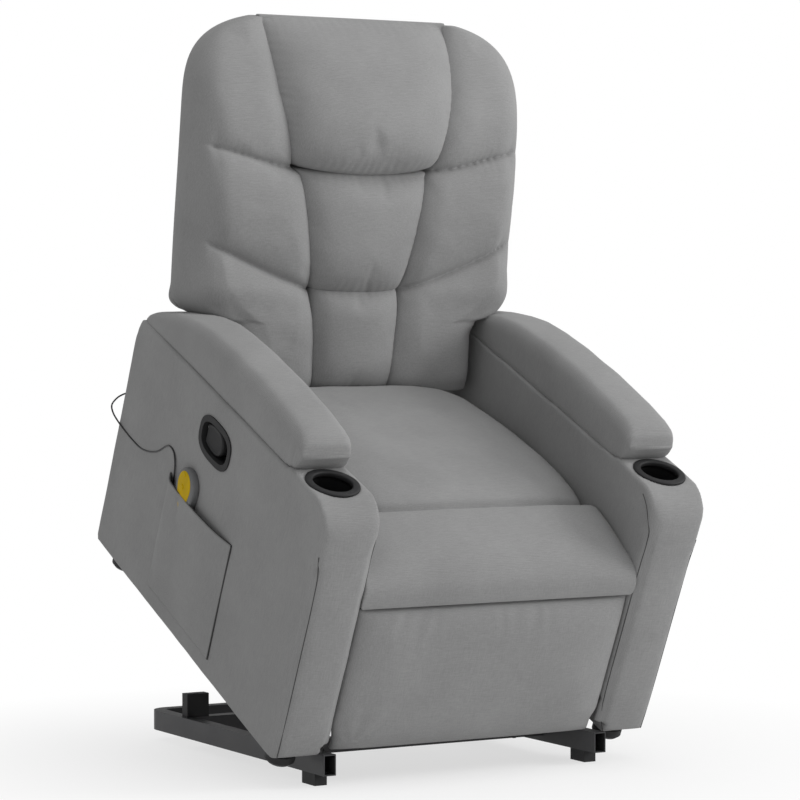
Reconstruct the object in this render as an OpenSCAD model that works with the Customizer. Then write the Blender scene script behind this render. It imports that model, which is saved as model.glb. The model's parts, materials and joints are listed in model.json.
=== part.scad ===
// Lift recliner chair, drawn with the lift fully raised.
// X is the chair's width (+X is the sitter's left), -Y is the front and Z is up.
// Points in the side view are written [y, z]. Those of the chair body are in its own
// frame, where z = 0 is the floor once the lift is down.

/* [Lift] */
// Forward tilt of the chair body with the lift raised, in degrees
lift_tilt = 24.9; // [24:0.1:26]
// Height of the chair body's floor line above the floor, under its origin
lift_rise = 198.5; // [197:0.5:204]
// How far the chair body stands behind its raised place once it is down
lowered_shift = -40; // [-42:0.5:-36]
// Rear lift pivot on the chair body
rear_pivot = [290, 70];
// Front lift pivot on the chair body
front_pivot = [0, 118];

/* [Arms and seat] */
// Width over the arms
chair_w = 770; // [768:1:780]
// Width of one arm
arm_w = 105; // [103:1:106]
// Front face of the arms
arm_front = -420; // [-424:1:-418]
// Rear face of the arms
arm_rear = 373; // [370:1:378]
// Underside of the arms
arm_bottom = 33; // [32:1:38]
// Height of the cup platform
platform_z = 522; // [520:1:526]
// Height of the seat cushion's underside
seat_z = 324.7; // [324.6:0.1:326]

/* [Backrest] */
// Lean of the backrest from the chair body's upright, in degrees
back_lean = 16.5; // [15:0.5:18]
// Recline hinge in the side view
recline_pivot = [300, 360];
// Half width of the backrest above the arms
back_half_w = 345; // [335:1:350]
// Height of the backrest along its lean, from the recline hinge
back_top = 725; // [718:1:732]

/* [Base] */
// Outer width of the base
base_w = 582; // [576:1:584]
// Front end of the side rails
rail_front = -410; // [-412:1:-408]
// Rear edge of the base
base_rear = 300; // [290:1:304]
// Height of the base's feet
foot_h = 21; // [18:1:21]
// Section of the base tube, across and up
tube = [24, 37];

/* [Hidden] */
$fn = 48;

row_y = 133;            // puts the raised chair's middle at y = 0
wall = 2;               // wall of every steel tube
gap = 0.3;              // room beside a soft piece
run = 0.05;             // radial clearance of a running pivot
rail_out = base_w / 2;
rail_in = rail_out - tube[0];
rail_end = 150;         // where the side rails meet the bent rear tube
cross_y = 140;          // front face of the base's cross tube
front_tube_y = -235;    // front face of the base's front tube
low_tube_w = 25;
front_tube_h = 26;      // the front tube is lower in section and stands clear of the floor
front_tube_z = foot_h + tube[1] - front_tube_h;
pin_r = 6;
rivet_r = 5;

arm_in = chair_w / 2 - arm_w;
arm_out = chair_w / 2;
rail_clear_x = 296;     // the arms are cut back to here beside the base rails
rail_clear_z = 110;
rail_notch_z = 55;      // the arms' front walls are notched to here to pass the rail ends
arm_top_front = [-264, 517];
arm_top_rear = [350, 504];
cup_x = 332.5;
cup_y = -329;
cup_r = 40;
seat_in = 246;          // inner face of the seat rails
seat_rail_z = 292;
seat_rail_h = 28;
gas_x = 130;

// ---- Side-view geometry of the lift ----
function turn(p, a) = [p[0] * cos(a) - p[1] * sin(a), p[0] * sin(a) + p[1] * cos(a)];
function raised(p) = turn(p, lift_tilt) + [0, lift_rise];
function lowered(p) = p + [lowered_shift, 0];
// The base pivot at a given y from which a link reaches p both raised and lowered.
function base_pivot(p, y) =
    let (a = lowered(p), b = raised(p), m = (a + b) / 2, d = b - a)
    [y, m[1] - (y - m[0]) * d[0] / d[1]];
function heading(p, q) = atan2(q[1] - p[1], q[0] - p[0]);

rear_base_pivot = base_pivot(rear_pivot, -153);
front_base_pivot = base_pivot(front_pivot, -223);
gas_low = [-180, 60];
gas_high = [64, 200];
gas_body_l = 215;

// ---- Side-view geometry of the footrest linkage, closed ----
foot_p1 = [-300, 265];
foot_p2 = [-295, 70];
foot_p3 = [-367, 213];
foot_q = [-260, 287];
foot_bc = [-271, 71];
foot_ad = [-303, 99];
foot_db = [-375, 242];

// ---- Placing ----
module base_pose() { translate([0, row_y, 0]) children(); }
module chair_pose() { translate([0, row_y, lift_rise]) rotate([lift_tilt, 0, 0]) children(); }
module back_pose() {
    chair_pose() translate([0, recline_pivot[0], recline_pivot[1]]) rotate([-back_lean, 0, 0])
        children();
}
module both() {
    children();
    mirror([1, 0, 0]) children();
}
// Extrudes a side-view outline from x0 along +X.
module plate(x0, t) { translate([x0, 0, 0]) rotate([90, 0, 90]) linear_extrude(t) children(); }
module pin(p, x0, x1, r) { plate(x0, x1 - x0) translate(p) circle(r); }
// A round-ended bar between two points, its sides a hair inside the round ends.
module bar(p, q, r) {
    side = 0.985 * r;
    translate(p) circle(r);
    translate(q) circle(r);
    translate(p) rotate(heading(p, q)) translate([0, -side]) square([norm(q - p), 2 * side]);
}
// A link plate with a bore of its own radius at each end.
module link(p, q, r, x0, t, bore_p, bore_q) {
    plate(x0, t) difference() {
        bar(p, q, r);
        translate(p) circle(bore_p);
        translate(q) circle(bore_q);
    }
}
// A box tube, open at the ends that run along the given axis (0 is X, 1 is Y, 2 is Z).
module box_tube(at, size, axis) {
    inner = [for (i = [0:2]) i == axis ? size[i] + 2 : size[i] - 2 * wall];
    shift = [for (i = [0:2]) i == axis ? -1 : wall];
    translate(at) difference() {
        cube(size);
        translate(shift) cube(inner);
    }
}
function superellipse(a, b, n, steps = 48) = [
    for (i = [0:steps - 1]) let (c = cos(i * 360 / steps), s = sin(i * 360 / steps))
        [a * sign(c) * pow(abs(c), 2 / n), b * sign(s) * pow(abs(s), 2 / n)]
];
function arc(c, r, a0, a1, steps) = [
    for (i = [0:steps]) let (a = a0 + (a1 - a0) * i / steps) c + r * [cos(a), sin(a)]
];
function blend(a, b, k) = a + (b - a) * k;
function smooth(k) = let (c = max(0, min(1, k))) c * c * (3 - 2 * c);
function lookup_y(table, y) = lookup(y, table);

// ---- Crowned soft solids ----
// front(u, v) gives the shown face for u and v from 0 to 1. The border goes to a flat
// rear face through the rings, each a function of a border point. The rear face is a
// fan about the point given as middle.
module crowned(nu, nv, front, rings, middle) {
    loop = concat(
        [for (i = [0:nu - 1]) i],
        [for (j = [0:nv - 1]) j * (nu + 1) + nu],
        [for (i = [nu:-1:1]) nv * (nu + 1) + i],
        [for (j = [nv:-1:1]) j * (nu + 1)]
    );
    face = [for (j = [0:nv]) for (i = [0:nu]) front(i / nu, j / nv)];
    count = len(loop);
    first = len(face);
    skirt = [for (r = rings) for (k = loop) r(face[k])];
    at = function (ring, k) ring == 0 ? loop[k % count] : first + (ring - 1) * count + k % count;
    faces = concat(
        [for (j = [0:nv - 1]) for (i = [0:nu - 1]) let (a = j * (nu + 1) + i)
            each [[a, a + nu + 1, a + 1], [a + 1, a + nu + 1, a + nu + 2]]],
        [for (ring = [0:len(rings) - 1]) for (k = [0:count - 1])
            each [[at(ring, k), at(ring, k + 1), at(ring + 1, k + 1)],
                  [at(ring, k), at(ring + 1, k + 1), at(ring + 1, k)]]],
        [for (k = [0:count - 1])
            [at(len(rings), k), at(len(rings), k + 1), first + len(rings) * count]]
    );
    polyhedron(concat(face, skirt, [middle]), faces, convexity = 6);
}
// A tube swept along points, with a frame that is carried from ring to ring.
function unit(v) = v / norm(v);
function tangent(p, i) = unit(p[min(i + 1, len(p) - 1)] - p[max(i - 1, 0)]);
function carried(p, i, n) =
    let (t = tangent(p, i), m = n - t * (n * t)) unit(m);
function normals(p, i = 0, n = [0, 0, 1], made = []) =
    i == len(p) ? made : let (m = carried(p, i, n)) normals(p, i + 1, m, concat(made, [m]));
function curve(p, steps) = concat([
    for (i = [0:len(p) - 2]) for (k = [0:steps - 1])
        let (t = k / steps, a = p[max(i - 1, 0)], b = p[i], c = p[i + 1],
             d = p[min(i + 2, len(p) - 1)])
        0.5 * (2 * b + (c - a) * t + (2 * a - 5 * b + 4 * c - d) * t * t
            + (3 * b - a - 3 * c + d) * t * t * t)
], [p[len(p) - 1]]);
module swept_tube(p, r, sides) {
    up = normals(p);
    pts = [for (i = [0:len(p) - 1]) let (t = tangent(p, i), s = cross(t, up[i]))
        for (k = [0:sides - 1]) p[i] + r * (up[i] * cos(k * 360 / sides) + s * sin(k * 360 / sides))];
    last = (len(p) - 1) * sides;
    faces = concat(
        [[for (k = [0:sides - 1]) k]],
        [for (i = [0:len(p) - 2]) for (k = [0:sides - 1])
            let (a = i * sides + k, b = i * sides + (k + 1) % sides)
            each [[a, a + sides, b], [b, a + sides, b + sides]]],
        [[for (k = [sides - 1:-1:0]) last + k]]
    );
    polyhedron(pts, faces, convexity = 8);
}

// ---- Base ----
module base_side_rails() {
    color("#3c3c3e") base_pose() both()
        box_tube([rail_in, rail_front, foot_h], [tube[0], rail_end - rail_front, tube[1]], 1);
}
module rear_tube_section(inset) {
    r_out = 38;
    h = tube[1] - 2 * inset;
    w = tube[0] - 2 * inset;
    reach = inset > 0 ? 1 : 0;
    translate([0, 0, foot_h + inset]) {
        both() {
            translate([rail_in + inset, rail_end - reach, 0])
                cube([w, base_rear - r_out - rail_end + reach, h]);
            translate([rail_out - r_out, base_rear - r_out, 0]) rotate_extrude(angle = 90)
                translate([r_out - tube[0] + inset, 0]) square([w, h]);
        }
        translate([-(rail_out - r_out), base_rear - tube[0] + inset, 0])
            cube([2 * (rail_out - r_out), w, h]);
    }
}
module base_rear_tube() {
    color("#3c3c3e") base_pose() difference() {
        rear_tube_section(0);
        rear_tube_section(wall);
    }
}
module base_cross_tube() {
    color("#3c3c3e") base_pose()
        box_tube([-rail_in, cross_y, foot_h], [2 * rail_in, low_tube_w, tube[1]], 0);
}
module base_front_tube() {
    color("#3c3c3e") base_pose()
        box_tube([-rail_in, front_tube_y, front_tube_z], [2 * rail_in, low_tube_w, front_tube_h], 0);
}
module base_feet() {
    front_foot_l = 47;
    rear_foot_w = 47;
    color("#1f1f20") base_pose() both() {
        translate([rail_in, rail_front + 33, 0]) cube([tube[0], front_foot_l, foot_h]);
        translate([140, base_rear - tube[0], 0]) cube([rear_foot_w, tube[0], foot_h]);
    }
}
module rest_blocks() {
    color("#242425") base_pose() both()
        translate([238, cross_y + 1.5, foot_h + tube[1]]) difference() {
            cube([45, 22, 44]);
            translate([22.5, 11, 30]) cylinder(h = 20, r = 5);
        }
}
module lift_brackets() {
    boss_r = 17;
    foot_z = front_tube_z + 1;
    color("#414143") base_pose() both() difference() {
        plate(196, 6) difference() {
            union() {
                bar(front_base_pivot, rear_base_pivot, boss_r);
                polygon([
                    [front_tube_y - 11, foot_z],
                    [front_tube_y + low_tube_w + 34, foot_z],
                    rear_base_pivot + [boss_r - 1, -5],
                    rear_base_pivot,
                    front_base_pivot,
                    front_base_pivot + [-boss_r, -1]
                ]);
            }
            translate(front_base_pivot) circle(pin_r + run);
            translate(rear_base_pivot) circle(pin_r + run);
            translate([-198, 120]) circle(16);
        }
        translate([-rail_in, front_tube_y, front_tube_z])
            cube([2 * rail_in, low_tube_w, front_tube_h]);
    }
}
module headed_pin(p, head_x, end_x, r) {
    head_t = 3.5;
    union() {
        pin(p, head_x, end_x, r);
        pin(p, head_x - head_t, head_x, r + 3.5);
    }
}
// A pin whose cap is at its outer end.
module capped_pin(p, start_x, cap_x, r) {
    pin(p, start_x, cap_x, r);
    pin(p, cap_x, cap_x + 3.4, r + 3.5);
}
module base_pivot_pins() {
    color("#8b8d90") base_pose() both() {
        capped_pin(front_base_pivot, 196, 226.6, pin_r);
        headed_pin(rear_base_pivot, 196, 211.5, pin_r);
        headed_pin(gas_low, gas_x - 12, gas_x + 14, 4);
    }
}
module gas_spring_lugs() {
    color("#414143") base_pose() both() for (x = [gas_x - 12, gas_x + 8])
        plate(x, 4) difference() {
            union() {
                translate(gas_low) circle(12);
                translate([front_tube_y + low_tube_w, gas_low[1] - 22]) square([30, 34]);
            }
            translate(gas_low) circle(4 + run);
        }
}

// ---- Lift links and gas springs, raised, in the base's frame ----
link_r = 13;
link_x = 204;
front_link_x = 220;
torque_reach = 195;
module rear_lift_links() {
    color("#47484a") base_pose() both()
        link(rear_base_pivot, raised(rear_pivot), link_r, link_x, 6, pin_r + run, pin_r + run);
}
module lift_torque_tube() {
    a = heading(rear_base_pivot, raised(rear_pivot));
    p = rear_base_pivot + torque_reach * [cos(a), sin(a)];
    color("#47484a") base_pose() plate(-link_x, 2 * link_x) translate(p) difference() {
        circle(12);
        circle(10);
    }
}
module front_lift_links() {
    open_r = pin_r + 1.2;
    color("#47484a") base_pose() both()
        link(raised(front_pivot), front_base_pivot, link_r, front_link_x, 6, pin_r + run, open_r);
}
// Turns children drawn along +Z from the origin to run from p towards q in the side view.
module aim(x, p, q) {
    translate([x, p[0], p[1]]) rotate([heading(p, q) - 90, 0, 0]) children();
}
module spring_eye(r, bore) {
    translate([-7, 0, 0]) rotate([0, 90, 0]) difference() {
        cylinder(h = 14, r = r);
        translate([0, 0, -1]) cylinder(h = 16, r = bore);
    }
}
module gas_spring_cylinders() {
    color("#1c1c1d") base_pose() both() aim(gas_x, gas_low, raised(gas_high)) union() {
        spring_eye(11, 4 + run);
        translate([0, 0, 10]) rotate_extrude() polygon([
            [0, 0], [6.5, 0], [6.5, 4], [13, 10], [13, gas_body_l - 12], [11, gas_body_l - 10],
            [6.9, gas_body_l - 10], [6.9, gas_body_l - 22], [10.1, gas_body_l - 24],
            [10.1, 14], [0, 14]
        ]);
    }
}
module gas_spring_rods() {
    color("#b4b7ba") base_pose() both() aim(gas_x, raised(gas_high), gas_low) union() {
        spring_eye(12, pin_r + run);
        translate([0, 0, 11.5]) rotate_extrude() polygon([
            [0, 0], [8, 0], [8, 10], [5, 12], [5, gas_body_l - 22],
            [8.2, gas_body_l - 22], [8.2, gas_body_l - 12], [0, gas_body_l - 12]
        ]);
    }
}

// ---- Chair body: steel frame ----
module lift_hangers() {
    color("#414143") chair_pose() both() plate(212, 6) difference() {
        union() {
            bar(front_pivot, rear_pivot, 16);
            translate(front_pivot + [-16, 0]) square([32, seat_rail_z - front_pivot[1]]);
            polygon([
                front_pivot, rear_pivot, rear_pivot + [16, 0], [230, seat_rail_z],
                [front_pivot[0], seat_rail_z]
            ]);
        }
        translate(front_pivot) circle(pin_r + run);
        translate(rear_pivot) circle(pin_r + run);
        translate(gas_high) circle(pin_r + run);
    }
}
module seat_rails() {
    color("#4a4a4c") chair_pose() both()
        box_tube([seat_in, -385, seat_rail_z], [arm_in - seat_in, 600, seat_rail_h], 1);
}
module rear_posts() {
    color("#4a4a4c") chair_pose() both() {
        box_tube([seat_in, 178, 106], [arm_in - seat_in, 30, seat_rail_z - 106], 2);
        translate([seat_in, 178, 103]) cube([arm_in - seat_in, 30, 3]);
    }
}
module seat_cross_rails() {
    color("#4a4a4c") chair_pose() {
        box_tube([-seat_in, -385, seat_rail_z], [2 * seat_in, 25, seat_rail_h], 0);
        box_tube([-seat_in, 52, seat_rail_z], [2 * seat_in, 25, 25], 0);
        box_tube([-seat_in, 190, seat_rail_z], [2 * seat_in, 25, seat_rail_h], 0);
    }
}
module gas_spring_shaft() {
    color("#8b8d90") chair_pose() {
        pin(gas_high, -221, 221, pin_r);
        both() for (x = [gas_x - 12, gas_x + 8]) plate(x, 4) translate(gas_high) difference() {
            circle(10);
            circle(pin_r);
        }
    }
}
spring_r = 2.2;
// One sinuous spring along Y: half loops joined by short crossing lengths.
spring_loops = 11;
spring_pitch = 52;
spring_reach = 17;
function spring_points() = concat(
    [[0, -spring_loops * spring_pitch / 2, 0]],
    [for (i = [0:spring_loops - 1]) let (
        side = i % 2 == 0 ? 1 : -1, mid = (i + 0.5 - spring_loops / 2) * spring_pitch)
        for (a = [-90:45:90])
            [side * (spring_reach + spring_pitch / 2 * cos(a)), mid + spring_pitch / 2 * sin(a), 0]],
    [[0, spring_loops * spring_pitch / 2, 0]]
);
module seat_springs() {
    color("#9a9ca0") chair_pose() for (x = [-165, -55, 55, 165])
        translate([x, -85, seat_rail_z + seat_rail_h + spring_r])
            swept_tube(spring_points(), spring_r, 6);
}
module chair_pivot_pins() {
    color("#8b8d90") chair_pose() both() {
        mirror([1, 0, 0]) headed_pin(rear_pivot, -218, -202.5, pin_r);
        capped_pin(front_pivot, 212, 226.6, pin_r);
    }
}
module footrest_plates() {
    color("#414143") chair_pose() both() {
        plate(262, 6) intersection() {
            union() {
                bar(foot_p1, foot_q, 14);
                translate([foot_p1[0] - 14, foot_p1[1]]) square([73, 40]);
            }
            translate([foot_p1[0] - 30, 0]) square([120, seat_rail_z]);
        }
        pin(foot_p1, 253.5, 262, rivet_r);
        pin(foot_q, 232.5, 262, rivet_r);
    }
}
module recline_brackets() {
    color("#414143") chair_pose() both() {
        plate(252, 6) union() {
            translate(recline_pivot) circle(16);
            polygon([
                [215, seat_rail_z], [250, seat_rail_z], recline_pivot + [14, -8],
                recline_pivot + [-8, 14], [215, seat_rail_z + seat_rail_h]
            ]);
        }
        pin(recline_pivot, 243, 252, pin_r);
    }
}

// ---- Chair body: arms ----
arm_outline = concat(
    [[arm_front + 10, arm_bottom], [arm_rear - 12, arm_bottom]],
    arc([arm_rear - 12, arm_bottom + 12], 12, -90, 0, 4),
    arc([283, 455], 90, 0, 32, 6),
    [arm_top_rear, arm_top_front, [arm_top_front[0], platform_z]],
    arc([arm_front + 58, platform_z - 58], 58, 90, 180, 10),
    arc([arm_front + 10, arm_bottom + 10], 10, 180, 270, 4)
);
// The arm's plan between two widths, with its front corners rounded.
module arm_plan(x0, x1, round_in, round_out) {
    edge = 9;
    linear_extrude(700) difference() {
        translate([x0, arm_front]) square([x1 - x0, arm_rear - arm_front]);
        if (round_in) translate([x0, arm_front]) difference() {
            translate([-1, -1]) square(edge + 1);
            translate([edge, edge]) circle(edge);
        }
        if (round_out) translate([x1, arm_front]) mirror([1, 0]) difference() {
            translate([-1, -1]) square(edge + 1);
            translate([edge, edge]) circle(edge);
        }
    }
}
module arm_body() {
    difference() {
        intersection() {
            plate(rail_clear_x, arm_out - rail_clear_x) polygon(arm_outline);
            arm_plan(rail_clear_x, arm_out, false, true);
        }
        translate([rail_clear_x + 12, arm_front + 26, arm_bottom + 15])
            cube([arm_out - rail_clear_x - 26, arm_rear - arm_front - 46, 370]);
        translate([cup_x, cup_y, platform_z - 90]) cylinder(h = 100, r = cup_r + 4);
    }
}
// The inner side of an arm, cut away below where the base rail comes up beside it.
module arm_panel() {
    wall_end = arm_front + 14;
    intersection() {
        plate(arm_in, rail_clear_x - arm_in) difference() {
            polygon(arm_outline);
            translate([wall_end, 0]) square([1000, rail_clear_z]);
            translate([arm_front - 1, 0]) square([1000, rail_notch_z]);
        }
        difference() {
            arm_plan(arm_in, rail_clear_x, true, false);
            translate([cup_x, cup_y, platform_z - 90]) cylinder(h = 100, r = cup_r + 4);
        }
    }
}
module arm_panel_left() { color("#9d9d9d") chair_pose() arm_panel(); }
module arm_panel_right() { color("#9d9d9d") chair_pose() mirror([1, 0, 0]) arm_panel(); }
module arm_left() {
    color("#a5a5a5") chair_pose() arm_body();
}
pull_y = -6;
pull_z = 434;
pull_a = 63.5;
pull_b = 39.5;
module arm_right() {
    color("#a5a5a5") chair_pose() difference() {
        mirror([1, 0, 0]) arm_body();
        plate(-arm_out - 1, 36) translate([pull_y, pull_z])
            polygon(superellipse(pull_a - 7, pull_b - 7, 2.8));
    }
}
// Underside and top of an arm pad along the arm, in the side view.
pad_low = [
    [-297, 552], [-290, 535], [-278, 523.8], [-268, 523.3], [-240, 518], [322, 506.3], [350, 506.3]
];
pad_high = [
    [-297, 558], [-291, 576], [-278, 585], [-255, 588], [-200, 591], [-90, 592], [20, 589],
    [104, 584], [170, 576], [227, 565], [290, 547], [330, 530], [350, 512]
];
module arm_pad() {
    stations = [-297, -291, -282, -268, -240, -180, -100, -20, 60, 130, 190, 240, 285, 320, 342, 350];
    side_n = 20;
    mid_x = arm_in + arm_w / 2 - 1;
    half = 52;
    section = function (y) let (lo = lookup_y(pad_low, y), hi = lookup_y(pad_high, y)) [
        for (k = [0:side_n - 1]) let (
            a = k * 360 / side_n, c = cos(a), s = sin(a),
            end = smooth((y + 303) / 22) * smooth((356 - y) / 30),
            w = half * (0.86 + 0.14 * end),
            flat = s < 0 ? 0.35 : 0.62
        )
        [mid_x + w * sign(c) * pow(abs(c), 0.42), y,
            (lo + hi) / 2 + (hi - lo) / 2 * sign(s) * pow(abs(s), flat)]
    ];
    pts = [for (y = stations) each section(y)];
    rows = len(stations);
    faces = concat(
        [[for (k = [0:side_n - 1]) k]],
        [for (j = [0:rows - 2]) for (k = [0:side_n - 1])
            let (a = j * side_n + k, b = j * side_n + (k + 1) % side_n)
            each [[a, a + side_n, b], [b, a + side_n, b + side_n]]],
        [[for (k = [side_n - 1:-1:0]) (rows - 1) * side_n + k]]
    );
    polyhedron(pts, faces, convexity = 4);
}
module arm_pad_left() { color("#a8a8a8") chair_pose() arm_pad(); }
module arm_pad_right() { color("#a8a8a8") chair_pose() mirror([1, 0, 0]) arm_pad(); }
module cup_holders() {
    depth = 78;
    taper = 4;
    color("#151515") chair_pose() both() translate([cup_x, cup_y, platform_z]) rotate_extrude()
        polygon([
            [0, -depth], [cup_r - taper + 2.5, -depth], [cup_r + 2.5, 0], [48, 0], [48, 1.5],
            [46, 3.5], [cup_r + 1, 3.5], [cup_r, 2], [cup_r - taper, 2.5 - depth], [0, 2.5 - depth]
        ]);
}
module glides() {
    color("#1a1a1a") chair_pose() both() for (y = [-370, 320]) translate([340, y, 1])
        rotate_extrude() polygon([
            [0, 0], [22, 0], [27.5, 6], [27.5, 19], [21, 25], [12, 27], [12, arm_bottom - 1],
            [0, arm_bottom - 1]
        ]);
}
module rear_panel() {
    color("#8c8c8c") chair_pose() translate([-arm_in + 0.2, 364, 60])
        cube([2 * arm_in - 0.4, 7, 270]);
}

// ---- Chair body: seat cushion ----
seat_top = [
    [-421, 352], [-419, 366], [-413, 378], [-403, 392], [-388, 406], [-365, 420], [-335, 431],
    [-305, 438], [-284, 440], [-272, 433], [-258, 444], [-225, 453], [-150, 459], [-60, 460],
    [40, 455], [130, 446], [200, 437], [214, 432]
];
module seat_cushion() {
    half = arm_in - 2.5;
    nu = 16;
    rows = len(seat_top) - 1;
    color("#a0a0a0") chair_pose() crowned(nu, rows,
        function (u, v) let (
            row = seat_top[round(v * rows)], k = abs(2 * u - 1),
            sink = 26 * pow(k, 3.2) * smooth((row[0] + 440) / 90)
        ) [(2 * u - 1) * half, row[0], row[1] - sink],
        [
            function (p) [p[0] * 1.004, p[1] < -400 ? p[1] + 1 : p[1], blend(p[2], seat_z, 0.45)],
            function (p) [p[0] * 0.995, p[1] < -400 ? p[1] + 4 : min(p[1], 213), seat_z]
        ], [0, -100, seat_z]);
}

// ---- Chair body: recline pull, pocket, handset and cord ----
module pull_bezel() {
    lip = 5;
    color("#161616") chair_pose() difference() {
        translate([0, pull_y, pull_z]) union() {
            plate(-arm_out - lip, lip) polygon(superellipse(pull_a, pull_b, 2.8));
            plate(-arm_out, 31) polygon(superellipse(pull_a - 8, pull_b - 8, 2.8));
        }
        translate([0, pull_y, pull_z]) plate(-arm_out - lip - 1, lip + 29)
            polygon(superellipse(pull_a - 11, pull_b - 11, 2.8));
    }
}
pull_hinge = [-372, 37];
module pull_handle() {
    half_h = 25;
    barrel_h = 13;
    side = [[pull_hinge[1], barrel_h], [26, 20], [12, 24.4]];
    color("#2a2a2b") chair_pose() difference() {
        union() {
            translate([pull_hinge[0], pull_hinge[1], pull_z - barrel_h])
                cylinder(h = 2 * barrel_h, r = 3.5);
            plate(pull_hinge[0] - 3.5, 5) polygon(concat(
                [for (p = side) [p[0], pull_z + p[1]]],
                arc([-4, pull_z], half_h, 90, 270, 16),
                [for (i = [2:-1:0]) [side[i][0], pull_z - side[i][1]]]
            ));
        }
        translate([pull_hinge[0] - 14, -10, pull_z]) sphere(r = 14);
    }
}
pocket_front = -135;
pocket_rear = 132;
pocket_low = 70;
pocket_high = 300;
pocket_depth = 14.3;
module side_pocket() {
    cloth = 1.4;
    nu = 12;
    nv = 8;
    mouth = function (u) pocket_high - 24 * sin(180 * u) + 4 * u;
    room = function (u, v) (u < 0.5 ? sin(180 * u) : u > 0.88 ? cos(90 * (u - 0.88) / 0.12) : 1)
        * smooth(v / 0.42);
    at = function (u, v, out) [
        -(arm_out + pocket_depth * room(u, v) + out), blend(pocket_front, pocket_rear, u),
        blend(pocket_low, mouth(u), v)
    ];
    n = (nu + 1) * (nv + 1);
    pts = concat(
        [for (j = [0:nv]) for (i = [0:nu]) at(i / nu, j / nv, cloth)],
        [for (j = [0:nv]) for (i = [0:nu]) at(i / nu, j / nv, 0)]
    );
    loop = concat(
        [for (i = [0:nu - 1]) i], [for (j = [0:nv - 1]) j * (nu + 1) + nu],
        [for (i = [nu:-1:1]) nv * (nu + 1) + i], [for (j = [nv:-1:1]) j * (nu + 1)]
    );
    count = len(loop);
    faces = concat(
        [for (j = [0:nv - 1]) for (i = [0:nu - 1]) let (a = j * (nu + 1) + i)
            each [[a, a + nu + 1, a + 1], [a + 1, a + nu + 1, a + nu + 2],
                  [n + a, n + a + 1, n + a + nu + 1],
                  [n + a + 1, n + a + nu + 2, n + a + nu + 1]]],
        [for (k = [0:count - 1]) let (a = loop[k], b = loop[(k + 1) % count])
            each [[a, b, n + b], [a, n + b, n + a]]]
    );
    color("#9a9a9a") chair_pose() polyhedron(pts, faces, convexity = 4);
}
set_y = 54;
set_half = 30;
set_low = 190;
set_high = 363;
module handset_outline(inset, low) {
    r = set_half - inset;
    translate([set_y, set_high - set_half]) circle(r);
    translate([set_y - r, low + 10]) square([2 * r, set_high - set_half - low - 10]);
    translate([set_y - r + 10, low]) square([2 * r - 20, 12]);
    for (s = [-1, 1]) translate([set_y + s * (r - 10), low + 10]) circle(10);
}
button_z = [340, 316];
module handset_body() {
    color("#6f7276") chair_pose() difference() {
        plate(-arm_out - 12, 11) handset_outline(0, set_low);
        for (z = button_z) pin([set_y, z], -arm_out - 13, -arm_out - 9, 5.3);
    }
}
module handset_face() {
    color("#d0a300") chair_pose() plate(-arm_out - 13, 1) difference() {
        handset_outline(5, 240);
        for (z = button_z) translate([set_y, z]) circle(5.3);
    }
}
module handset_button(z) { pin([set_y, z], -arm_out - 13.6, -arm_out - 10.2, 5); }
module power_button() { color("#c29100") chair_pose() handset_button(button_z[0]); }
module mode_button() { color("#c29100") chair_pose() handset_button(button_z[1]); }
cord_r = 1.6;
gland_at = [-238, 371, 318];
cord_route = [
    [-238, 384, 318], [-239, 396, 318], [-252, 407, 319], [-285, 410, 322], [-330, 404, 328],
    [-366, 394, 334], [-384, 390, 331], [-391, 396, 319], [-392, 404, 303], [-391, 394, 292],
    [-389, 368, 285], [-388, 334, 282], [-388, 298, 282], [-388, 262, 285], [-388, 226, 297],
    [-388, 196, 314], [-388, 170, 337], [-389, 152, 346], [-390, 132, 344], [-391, 119, 331],
    [-391, 113, 312], [-391, 110, 284], [-391, 108, 244], [-391, 104, 206], [-391, 95, 176],
    [-391, 77, 160], [-391, 61, 164], [-391.5, 54.5, 176], [-391.5, 54, 190]
];
module handset_cord() {
    color("#141414") chair_pose() swept_tube(curve(cord_route, 2), cord_r, 8);
}
module cord_gland() {
    color("#141414") chair_pose() translate(gland_at) rotate([-90, 0, 0]) rotate_extrude()
        polygon([[0, 0], [7, 0], [7, 2.5], [4.2, 3.5], [2.4, 13], [0, 13]]);
}

// ---- Backrest, in its own frame: Z runs up the lean and -Y is forwards ----
frame_deep = [12, 26];
module back_uprights() {
    color("#4a4a4c") back_pose() both() {
        box_tube([221, frame_deep[0], 30], [22, frame_deep[1] - frame_deep[0], 620], 2);
        plate(243, 8) difference() {
            union() {
                circle(16);
                polygon([[-2, 15.5], [15, -5], [frame_deep[0] + 12, 29.9], [2, 29.9]]);
            }
            circle(pin_r + run);
        }
    }
}
module back_cross_rails() {
    color("#4a4a4c") back_pose() for (z = [46, 300, 620])
        box_tube([-221, frame_deep[0], z], [442, frame_deep[1] - frame_deep[0], 25], 0);
}
module back_panel() {
    color("#b08d5c") back_pose() translate([-251, 6, 62]) cube([502, 6, 596]);
}
module massage_motors() {
    color("#2b2b2d") back_pose() both() for (z = [150, 430])
        translate([85, frame_deep[0], z]) rotate([-90, 0, 0]) rotate_extrude()
            polygon([[0, 0], [34, 0], [34, 4], [26, 7], [26, 18], [23, 20], [0, 20]]);
}
low_half_w = 272;
wing_step = [183, 186];
wing_corner = 38;
corner_from = 545;
// Half width of the backrest at a height along its lean.
function half_w(s) =
    s > corner_from
        ? back_half_w * pow(max(0, 1 - pow((s - corner_from) / (back_top + 8 - corner_from), 3.5)), 1 / 3.5)
        : s > wing_step[1]
            ? back_half_w - wing_corner * (1 - sqrt(1 - pow(max(0, wing_step[1] + wing_corner - s)
                / (wing_corner + 1), 2)))
            : blend(low_half_w, back_half_w - wing_corner * 0.8, smooth((s - wing_step[0])
                / (wing_step[1] - wing_step[0])));
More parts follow.
